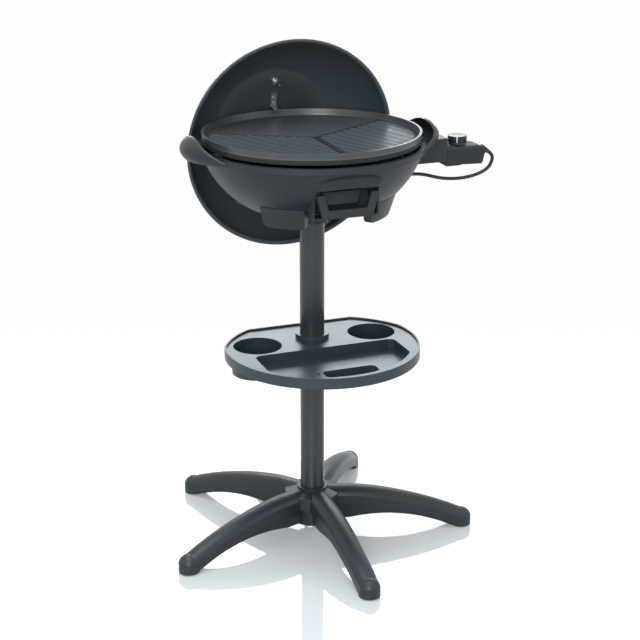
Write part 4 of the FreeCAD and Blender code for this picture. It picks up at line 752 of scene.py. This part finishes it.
@dataclass
class Studio:
    """The camera at the photograph's place, the pale floor, the soft lights and the white surround."""

    eye: Point = (-988.0, -2643.0, 1435.0)
    forward: Point = (0.3354, 0.8825, -0.3297)
    right: Point = (0.9348, -0.3553, 0.0)
    lens: float = 85.78
    sensor: float = 36.0
    farthest: float = 200.0
    floor_half: float = 30.0
    floor_drop: float = 0.0004
    floor_lit: Colour = (0.9, 0.9, 0.9)
    floor_seen: Colour = (0.7, 0.7, 0.7)
    floor_dullness: float = 0.05
    floor_fade: Span = (0.42, 1.0)
    glow_near: float = 0.2
    glow_rise: float = 0.79
    surround: float = 0.5
    daylight: Colour = (0.86, 0.95, 1.0)
    softboxes: Tuple[Softbox, ...] = (
        Softbox("overhead_softbox", (-300, -200, 2600), (0, 0, 700), (1.8, 1.4), 41.0),
        Softbox("rear_softbox", (444, 1168, 900), (0, 0, 420), (1.3, 0.4), 10.0),
        Softbox("floor_softbox", (469, 1235, 580), (0, 0, 580), (2.6, 1.08), 54.0, floor_only=True),
        Softbox("front_softbox", (-1500, -2600, 1700), (0, 100, 650), (1.2, 1.6), 47.0),
        Softbox("front_strip", (-1000, -2700, 1150), (0, 0, 500), (0.2, 1.5), 4.0),
        Softbox("left_strip", (-1900, -900, 1500), (0, 0, 600), (0.4, 1.8), 3.0),
        Softbox("right_strip", (1700, -1300, 1300), (0, 0, 600), (0.4, 1.6), 4.0),
    )

    def set_camera(self) -> None:
        """Put the camera at the photograph's place."""
        data = bpy.data.cameras.new("photograph_view")
        data.lens = self.lens
        data.sensor_width = self.sensor
        data.clip_end = self.farthest
        camera = bpy.data.objects.new("photograph_view", data)
        bpy.context.scene.collection.objects.link(camera)
        ahead = Vector(self.forward).normalized()
        side = Vector(self.right)
        side = (side - ahead * side.dot(ahead)).normalized()
        up = side.cross(ahead)
        turn = Matrix((side, up, -ahead)).transposed()
        camera.matrix_world = Matrix.Translation(beside_pole(*self.eye)) @ turn.to_4x4()
        bpy.context.scene.camera = camera

    def seen(self, tree: FinishTree) -> Wire:
        """One for rays from the camera, off gloss or through glass, else nought."""
        kinds = ("Is Camera Ray", "Is Glossy Ray", "Is Transmission Ray")
        rays = [tree.node("ShaderNodeLightPath", output=kind) for kind in kinds]
        return tree.node("ShaderNodeClamp", inputs={"Value": rays[0] + rays[1] + rays[2]})

    def lay_floor(self) -> bpy.types.Object:
        """Lay the white, slightly glossy floor that keeps shadow and reflection.

        Returns:
            The floor.
        """
        mesh = bpy.data.meshes.new("studio_floor")
        half = self.floor_half
        corners = [(-half, -half, 0), (half, -half, 0), (half, half, 0), (-half, half, 0)]
        mesh.from_pydata(corners, [], [(0, 1, 2, 3)])
        floor = bpy.data.objects.new("studio_floor", mesh)
        floor.location.z = -self.floor_drop
        bpy.context.scene.collection.objects.link(floor)
        tree = FinishTree(bpy.data.materials.new("white_floor"))
        seen = self.seen(tree)
        paper = tree.mixed(seen, self.floor_lit, self.floor_seen)
        gloss = tree.node("ShaderNodeBsdfPrincipled", inputs={
            "Base Color": paper, "Roughness": self.floor_dullness, "Specular IOR Level": 0.5})
        glow = tree.node("ShaderNodeEmission", inputs={"Color": WHITE, "Strength": 1.0})
        away = tree.step(tree.reach(tree.shifted(tree.place(), POLE)), *self.floor_fade)
        share = seen * (self.glow_near + away * self.glow_rise)
        both = tree.node("ShaderNodeMixShader", inputs={0: share, 1: gloss, 2: glow})
        tree.node("ShaderNodeOutputMaterial", inputs={"Surface": both})
        mesh.materials.append(tree.owner)
        return floor

    def light_surround(self) -> None:
        """Fill the room with soft light, pure white where it is seen."""
        world = bpy.data.worlds.new("white_room")
        bpy.context.scene.world = world
        tree = FinishTree(world)
        seen = self.seen(tree)
        tint = tree.mixed(seen, self.daylight, WHITE)
        strength = self.surround + seen * (1.0 - self.surround)
        sky = tree.node("ShaderNodeBackground", inputs={"Color": tint, "Strength": strength})
        tree.node("ShaderNodeOutputWorld", inputs={"Surface": sky})

    def build(self) -> None:
        """Set up camera, floor and light."""
        self.set_camera()
        floor = self.lay_floor()
        self.light_surround()
        for softbox in self.softboxes:
            softbox.hang(self.daylight, floor)
        LOG.info("studio: camera, floor, surround and %d softboxes", len(self.softboxes))


@dataclass
class SubAssembly:
    """A group of the grill's pieces that one class builds and dresses."""

    shop: PaintShop

    WELD_GAP: ClassVar[float] = 1e-6
    FLAT_TURN: ClassVar[float] = math.radians(0.3)
    EDGE_TURN: ClassVar[float] = math.radians(28)
    EDGE_STEPS: ClassVar[int] = 2
    FACE_WEIGHT: ClassVar[int] = 60

    def dress(self, nodes: Sequence[str], finish: Finish, edge: Edge, merge: bool = True) -> None:
        """Give solids of the frame their finish and rounded corners.

        Args:
            nodes: the solids' names.
            finish: what they get.
            edge: how far their corners are rounded.
            merge: whether triangles of one flat face are joined first.
        """
        for name in nodes:
            piece = frame["nodes"][name]
            self.shop.coat(piece, finish)
            self.soften(piece, edge, merge)
            LOG.info("dressed %s in %s", name, finish.name)

    def soften(self, piece: bpy.types.Object, edge: Edge, merge: bool = True) -> None:
        """Round a piece's corners and even out its shading.

        Args:
            piece: the object.
            edge: how far.
            merge: whether triangles of one flat face are joined first.
        """
        piece.data.shade_smooth()
        weld = piece.modifiers.new("weld", "WELD")
        weld.merge_threshold = self.WELD_GAP
        if merge and edge is not Edge.KEEN:
            flat = piece.modifiers.new("flat_faces", "DECIMATE")
            flat.decimate_type = "DISSOLVE"
            flat.angle_limit = self.FLAT_TURN
        if edge is not Edge.KEEN:
            bevel = piece.modifiers.new("rounded_edges", "BEVEL")
            bevel.width = edge.value
            bevel.segments = self.EDGE_STEPS
            bevel.limit_method = "ANGLE"
            bevel.angle_limit = self.EDGE_TURN
            bevel.use_clamp_overlap = True
            bevel.harden_normals = False
            bevel.miter_outer = "MITER_ARC"
        even = piece.modifiers.new("even_shading", "WEIGHTED_NORMAL")
        even.weight = self.FACE_WEIGHT
        even.keep_sharp = True

    def make_piece(self, name: str, points: Sequence[Point], faces: Sequence[Sequence[int]],
                   finish: Finish) -> bpy.types.Object:
        """Make a piece from points and faces.

        Args:
            name: the piece's name.
            points: its corners in metres of the frame.
            faces: corner numbers of each face.
            finish: what it gets.

        Returns:
            The new object.
        """
        mesh = bpy.data.meshes.new(name)
        mesh.from_pydata([tuple(p) for p in points], [], [tuple(f) for f in faces])
        shaped = bmesh.new()
        shaped.from_mesh(mesh)
        bmesh.ops.recalc_face_normals(shaped, faces=shaped.faces)
        shaped.to_mesh(mesh)
        shaped.free()
        mesh.shade_smooth()
        piece = bpy.data.objects.new(name, mesh)
        bpy.context.scene.collection.objects.link(piece)
        self.shop.coat(piece, finish)
        LOG.info("made %s in %s", name, finish.name)
        return piece


@dataclass
class MainsCord(SubAssembly):
    """The mains lead from the thermostat, under the bowl and down the pole to its plug behind the base."""

    diameter: float = 0.007
    sides: int = 16
    spline_steps: int = 10
    spline_order: int = 3
    length: float = 1.28
    sheath: Finish = Rubber("cord_sheath", (0.012, 0.012, 0.013), 0.45)
    plug_rubber: Finish = Rubber("plug_rubber", (0.014, 0.014, 0.015), 0.5)
    pin_metal: Finish = SheetMetal("plug_pin_metal", (0.72, 0.72, 0.73), 0.22)
    route: Tuple[Point, ...] = (
        (370.2, 0, 757.46), (381.22, 0, 750.57), (384, 5, 735), (377, 13, 716.5), (353, 22, 704),
        (321, 28, 699), (284, 33, 702), (246, 36, 714), (210, 40, 715), (175, 44, 699), (140, 47, 673),
        (92, 44, 654), (47, 38, 641), (11.7, 26.9, 606), (11.7, 26.9, 556), (17, 46, 502), (26, 71, 446),
        (32, 95, 390), (31, 104, 320), (28, 108, 245), (26, 110, 170), (27, 112, 102), (31, 121, 51),
        (39, 144, 16), (45, 176, 4), (40, 210, 3.6), (14, 233, 3.6), (-20, 236, 6), (-46, 220, 14),
        (-54.03, 196.73, 18.5), (-46, 172, 18.5),
    )

    def centreline(self) -> List[Vector]:
        """Lay the route on one smooth spline and read its points.

        Returns:
            The points along it, in metres of the frame.
        """
        curve = bpy.data.curves.new("mains_route", "CURVE")
        curve.dimensions = "3D"
        curve.resolution_u = self.spline_steps
        spline = curve.splines.new("NURBS")
        spline.points.add(len(self.route) - 1)
        for point, place in zip(spline.points, self.route):
            point.co = (*beside_pole(*place), 1.0)
        spline.order_u = self.spline_order
        spline.use_endpoint_u = True
        holder = bpy.data.objects.new("mains_route", curve)
        bpy.context.scene.collection.objects.link(holder)
        bpy.context.view_layer.update()
        line = bpy.data.meshes.new_from_object(holder)
        points = [vertex.co.copy() for vertex in line.vertices]
        bpy.data.objects.remove(holder)
        bpy.data.meshes.remove(line)
        return points

    def tube(self, line: Sequence[Vector]) -> Tuple[List[Vector], List[Tuple[int, ...]]]:
        """Wrap a round tube about a line.

        Args:
            line: the points that it follows.

        Returns:
            Its corners and faces.
        """
        points: List[Vector] = []
        faces: List[Tuple[int, ...]] = []
        side = Vector((0, 1, 0))
        for number, middle in enumerate(line):
            ahead = line[min(number + 1, len(line) - 1)] - line[max(number - 1, 0)]
            ahead.normalize()
            side = (side - ahead * side.dot(ahead)).normalized()
            other = ahead.cross(side)
            for corner in range(self.sides):
                turn = math.tau * corner / self.sides
                spoke = side * math.cos(turn) + other * math.sin(turn)
                points.append(middle + spoke * self.diameter / 2)
        for number in range(len(line) - 1):
            for corner in range(self.sides):
                first = number * self.sides + corner
                second = number * self.sides + (corner + 1) % self.sides
                faces.append((first, second, second + self.sides, first + self.sides))
        faces.append(tuple(reversed(range(self.sides))))
        faces.append(tuple(range(len(points) - self.sides, len(points))))
        return points, faces

    def build(self) -> None:
        """Lay the cord and dress its plug."""
        line = self.centreline()
        cord = self.make_piece("mains_cord", *self.tube(line), self.sheath)
        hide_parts("cord_lead", "power_cord")
        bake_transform(cord)
        self.dress(["power_plug"], self.plug_rubber, Edge.SOFT)
        self.dress(["plug_pins"], self.pin_metal, Edge.CRISP)


@dataclass
class Stand(SubAssembly):
    """Base star, its five legs, pads and screws, and the pole."""

    legs: Tuple[str, ...] = ("leg_front", "leg_front_right", "leg_back_right", "leg_back_left",
                             "leg_front_left")
    moulding: Finish = MouldedPlastic("stand_moulding", (0.021, 0.026, 0.031), 0.4)
    paint: Finish = PowderCoat("pole_paint", (0.026, 0.032, 0.037), 0.27)
    pads: Finish = Rubber("pad_rubber", (0.02, 0.02, 0.02), 0.75)
    plating: Finish = SheetMetal("zinc_plating", (0.5, 0.5, 0.5), 0.32)
    sleeve: Finish = SheetMetal("sleeve_steel", (0.55, 0.55, 0.56), 0.3)

    def build(self) -> None:
        """Dress the stand."""
        self.dress(["base_hub", *self.legs], self.moulding, Edge.MOULDED)
        self.dress(["lower_pole", "upper_pole"], self.paint, Edge.CRISP)
        self.dress(["foot_pads"], self.pads, Edge.CRISP)
        self.dress(["leg_screws", "mount_screws"], self.plating, Edge.SHEET)
        self.dress(["pole_joiner"], self.sleeve, Edge.SHEET)
        self.dress(["cord_clip"], self.moulding, Edge.CRISP)


@dataclass
class ServingTray(SubAssembly):
    """The tray on the pole with its rim, wells and cup pockets."""

    moulding: Finish = MouldedPlastic("tray_moulding", (0.030, 0.038, 0.045), 0.36)

    def build(self) -> None:
        """Dress the tray."""
        self.dress(["tray"], self.moulding, Edge.MOULDED)


@dataclass
class GrillHead(SubAssembly):
    """Bowl, plate, heater, shield, drawer and the socket on the pole."""

    rib_level: float = 816.5
    moulding: Finish = MouldedPlastic("bowl_moulding", (0.014, 0.018, 0.023), 0.44)
    drawer_moulding: Finish = MouldedPlastic("drawer_moulding", (0.016, 0.020, 0.025), 0.42)
    shield: Finish = SheetMetal("shield_steel", (0.62, 0.62, 0.62), 0.28, (1.0, 0.03, 1.0))
    heater: Finish = SheetMetal("heater_tube", (0.3, 0.29, 0.28), 0.4, (1.0, 1.0, 1.0), (0.12, 0.08, 0.06))

    def build(self) -> None:
        """Dress the head."""
        middle = tuple(beside_pole(0, 0, self.rib_level))
        coating = NonStick("plate_coating", (0.048, 0.053, 0.058), 0.34, middle)
        self.dress(["bowl", "bowl_mount", "terminal_shroud"], self.moulding, Edge.MOULDED)
        self.dress(["grill_plate"], coating, Edge.CRISP, merge=False)
        self.dress(["drip_drawer"], self.drawer_moulding, Edge.CRISP)
        self.dress(["heat_shield"], self.shield, Edge.SHEET)
        self.dress(["heating_element", "terminal_pins"], self.heater, Edge.SHEET)


@dataclass
class Thermostat(SubAssembly):
    """The plug-in thermostat with its feeler, knob and strain relief."""

    knob_across: float = field(init=False)
    knob_under: float = field(init=False)
    knob_height: float = field(init=False)
    knob_radius: float = field(init=False)
    cap_radius: float = 17.5
    cap_level: float = 790.0
    cap_gap: float = 0.15
    bore: float = 3.3
    flutes: int = 56
    flute_steps: int = 6
    flute_depth: float = 0.28
    pointer_turn: float = -116.0
    pointer_half: float = 1.05
    case: Finish = MouldedPlastic("thermostat_case", (0.012, 0.013, 0.015), 0.6, 0.0007, 0.00002)
    grip: Finish = MouldedPlastic("knob_grip", (0.016, 0.017, 0.019), 0.34, 0.0007, 0.00002)
    relief: Finish = Rubber("relief_rubber", (0.013, 0.013, 0.014), 0.45)
    feeler: Finish = SheetMetal("feeler_steel", (0.4, 0.39, 0.38), 0.35)
    plating: Finish = SheetMetal("screw_plating", (0.5, 0.5, 0.5), 0.3)
    mark: Finish = MouldedPlastic("pointer_white", (0.78, 0.78, 0.76), 0.4, 0.0007, 0.00001)

    def __post_init__(self) -> None:
        """Measure the knob's solid in millimetres beside the pole."""
        low, high = (corner * MM_PER_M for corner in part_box("knob"))
        self.knob_across = (low.x + high.x) / 2 - POLE.x * MM_PER_M
        self.knob_under = low.z
        self.knob_height = high.z - low.z
        self.knob_radius = (high.x - low.x) / 2

    def knob_mesh(self) -> Tuple[List[Vector], List[Tuple[int, ...]]]:
        """Turn the knob's grip with fine flutes and a plain band at its foot.

        Returns:
            Its corners and faces.
        """
        low, high, wide = self.knob_under, self.knob_under + self.knob_height, self.knob_radius
        inner = self.cap_radius + self.cap_gap
        plain, fluted = 0, 1
        rings = [(self.bore, low, plain), (wide - 0.8, low, plain), (wide - 0.1, low + 0.6, plain),
                 (wide - 0.1, low + 3.2, plain), (wide - 0.6, low + 3.5, plain),
                 (wide - 0.6, low + 4.1, plain), (wide - 0.1, low + 4.4, fluted),
                 (wide - 0.35, high - 2.4, fluted),
                 (wide - 0.4, high - 1.8, plain), (wide - 0.5, high - 0.5, plain),
                 (wide - 0.8, high - 0.1, plain), (inner + 0.2, high, plain), (inner, high - 0.2, plain),
                 (inner, high - 2.0, plain), (self.bore, high - 2.0, plain)]
        steps = self.flutes * self.flute_steps
        points: List[Vector] = []
        for radius, height, kind in rings:
            for step in range(steps):
                turn = math.tau * step / steps
                wave = (0.5 + 0.5 * math.cos(turn * self.flutes)) ** 2
                out = radius - self.flute_depth * kind * wave
                across, back = out * math.cos(turn), out * math.sin(turn)
                points.append(beside_pole(self.knob_across + across, back, height))
        faces: List[Tuple[int, ...]] = []
        count = len(rings)
        for ring in range(count):
            here, above = ring * steps, (ring + 1) % count * steps
            for step in range(steps):
                after = (step + 1) % steps
                faces.append((here + step, here + after, above + after, above + step))
        return points, faces

    def pointer_mesh(self) -> Tuple[List[Vector], List[Tuple[int, ...]]]:
        """Shape the white mark that stands in the grip's side and turns over its top edge.

        Returns:
            Its corners and faces.
        """
        low, high, wide = self.knob_under + 4.8, self.knob_under + self.knob_height, self.knob_radius
        inner = self.cap_radius + 0.4
        path = [(wide - 0.9, low), (wide + 0.02, low + 0.2), (wide - 0.22, high - 2.2),
                (wide - 0.36, high - 0.5), (wide - 0.66, high + 0.04), (inner, high + 0.06),
                (inner, high - 0.6), (wide - 1.1, high - 1.4)]
        turn = math.radians(self.pointer_turn)
        points: List[Vector] = []
        for across in (-self.pointer_half, self.pointer_half):
            for radius, height in path:
                points.append(beside_pole(
                    self.knob_across + radius * math.cos(turn) - across * math.sin(turn),
                    radius * math.sin(turn) + across * math.cos(turn), height))
        count = len(path)
        faces: List[Tuple[int, ...]] = [tuple(range(count)), tuple(range(count, 2 * count))]
        for corner in range(count):
            after = (corner + 1) % count
            faces.append((corner, after, count + after, count + corner))
        return points, faces

    def build(self) -> None:
        """Make the knob and dress the rest."""
        middle = tuple(beside_pole(self.knob_across, 0, self.cap_level))
        cap = TurnedMetal("knob_cap_silver", (0.24, 0.243, 0.25), 0.46, middle)
        self.dress(["thermostat_cover", "thermostat_base"], self.case, Edge.ROUND)
        self.dress(["strain_relief"], self.relief, Edge.CRISP)
        self.dress(["thermostat_probe"], self.feeler, Edge.SHEET)
        self.dress(["housing_screws"], self.plating, Edge.SHEET)
        self.dress(["knob_spindle"], self.grip, Edge.SHEET)
        self.dress(["knob_cap"], cap, Edge.SHEET)
        grip = self.make_piece("knob_grip", *self.knob_mesh(), self.grip)
        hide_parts("knob")
        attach(grip, Body.KNOB.value)
        pointer = self.make_piece("knob_pointer", *self.pointer_mesh(), self.mark)
        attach(pointer, Body.KNOB.value)


@dataclass
class HungLid(SubAssembly):
    """The domed lid with its hook, handle and thermometer."""

    dome_middle: Point = (0.0, 113.9, 775.0)
    grip: Finish = MouldedPlastic("handle_moulding", (0.018, 0.018, 0.02), 0.42)
    plating: Finish = SheetMetal("lid_screw_plating", (0.5, 0.5, 0.5), 0.32)
    strap: Finish = SheetMetal("hook_steel", (0.3, 0.3, 0.31), 0.34)
    stem: Finish = SheetMetal("stem_steel", (0.58, 0.57, 0.55), 0.26)
    needle: Finish = MouldedPlastic("needle_red", (0.55, 0.05, 0.04), 0.4, 0.0007, 0.00001)
    glass: Finish = ClearGlass("gauge_glass", WHITE, 0.02)

    def build(self) -> None:
        """Dress the lid."""
        joints = frame["record"]["behaviour"]["joints"]
        joint = next(joint for joint in joints if joint["name"] == "needle_turn")
        middle, axis = tuple(joint["pos_m"]), tuple(joint["axis"])
        upward = Vector(UP) - Vector(axis) * axis[2]
        dial = DialFace("dial_print", (0.6, 0.6, 0.585), 0.45, middle, axis, tuple(upward.normalized()))
        case = TurnedMetal("gauge_case_silver", (0.75, 0.76, 0.78), 0.22, middle, axis)
        dome = tuple(beside_pole(*self.dome_middle))
        enamel = Enamel("lid_enamel", (0.054, 0.064, 0.073), 0.46, dome, axis)
        self.dress(["lid_shell"], enamel, Edge.CRISP)
        self.dress(["lid_handle"], self.grip, Edge.SOFT)
        self.dress(["handle_screws", "hook_rivets"], self.plating, Edge.SHEET)
        self.dress(["lid_hook"], self.strap, Edge.SHEET)
        self.dress(["thermometer_case"], case, Edge.CRISP)
        self.dress(["thermometer_dial"], dial, Edge.KEEN)
        self.dress(["thermometer_needle"], self.needle, Edge.SHEET)
        self.dress(["thermometer_glass"], self.glass, Edge.SHEET)
        self.dress(["thermometer_stem", "thermometer_nut"], self.stem, Edge.SHEET)


def main() -> None:
    """Build the scene: camera and cord first, then each sub-assembly."""
    logging.basicConfig(level=logging.INFO, format="%(name)s: %(message)s")
    bpy.context.scene.view_settings.view_transform = "Standard"
    shop = PaintShop()
    Studio().build()
    for kind in (MainsCord, Stand, ServingTray, GrillHead, Thermostat, HungLid):
        kind(shop).build()
        LOG.info("finished %s", kind.__name__)


if __name__ == "__main__":
    main()
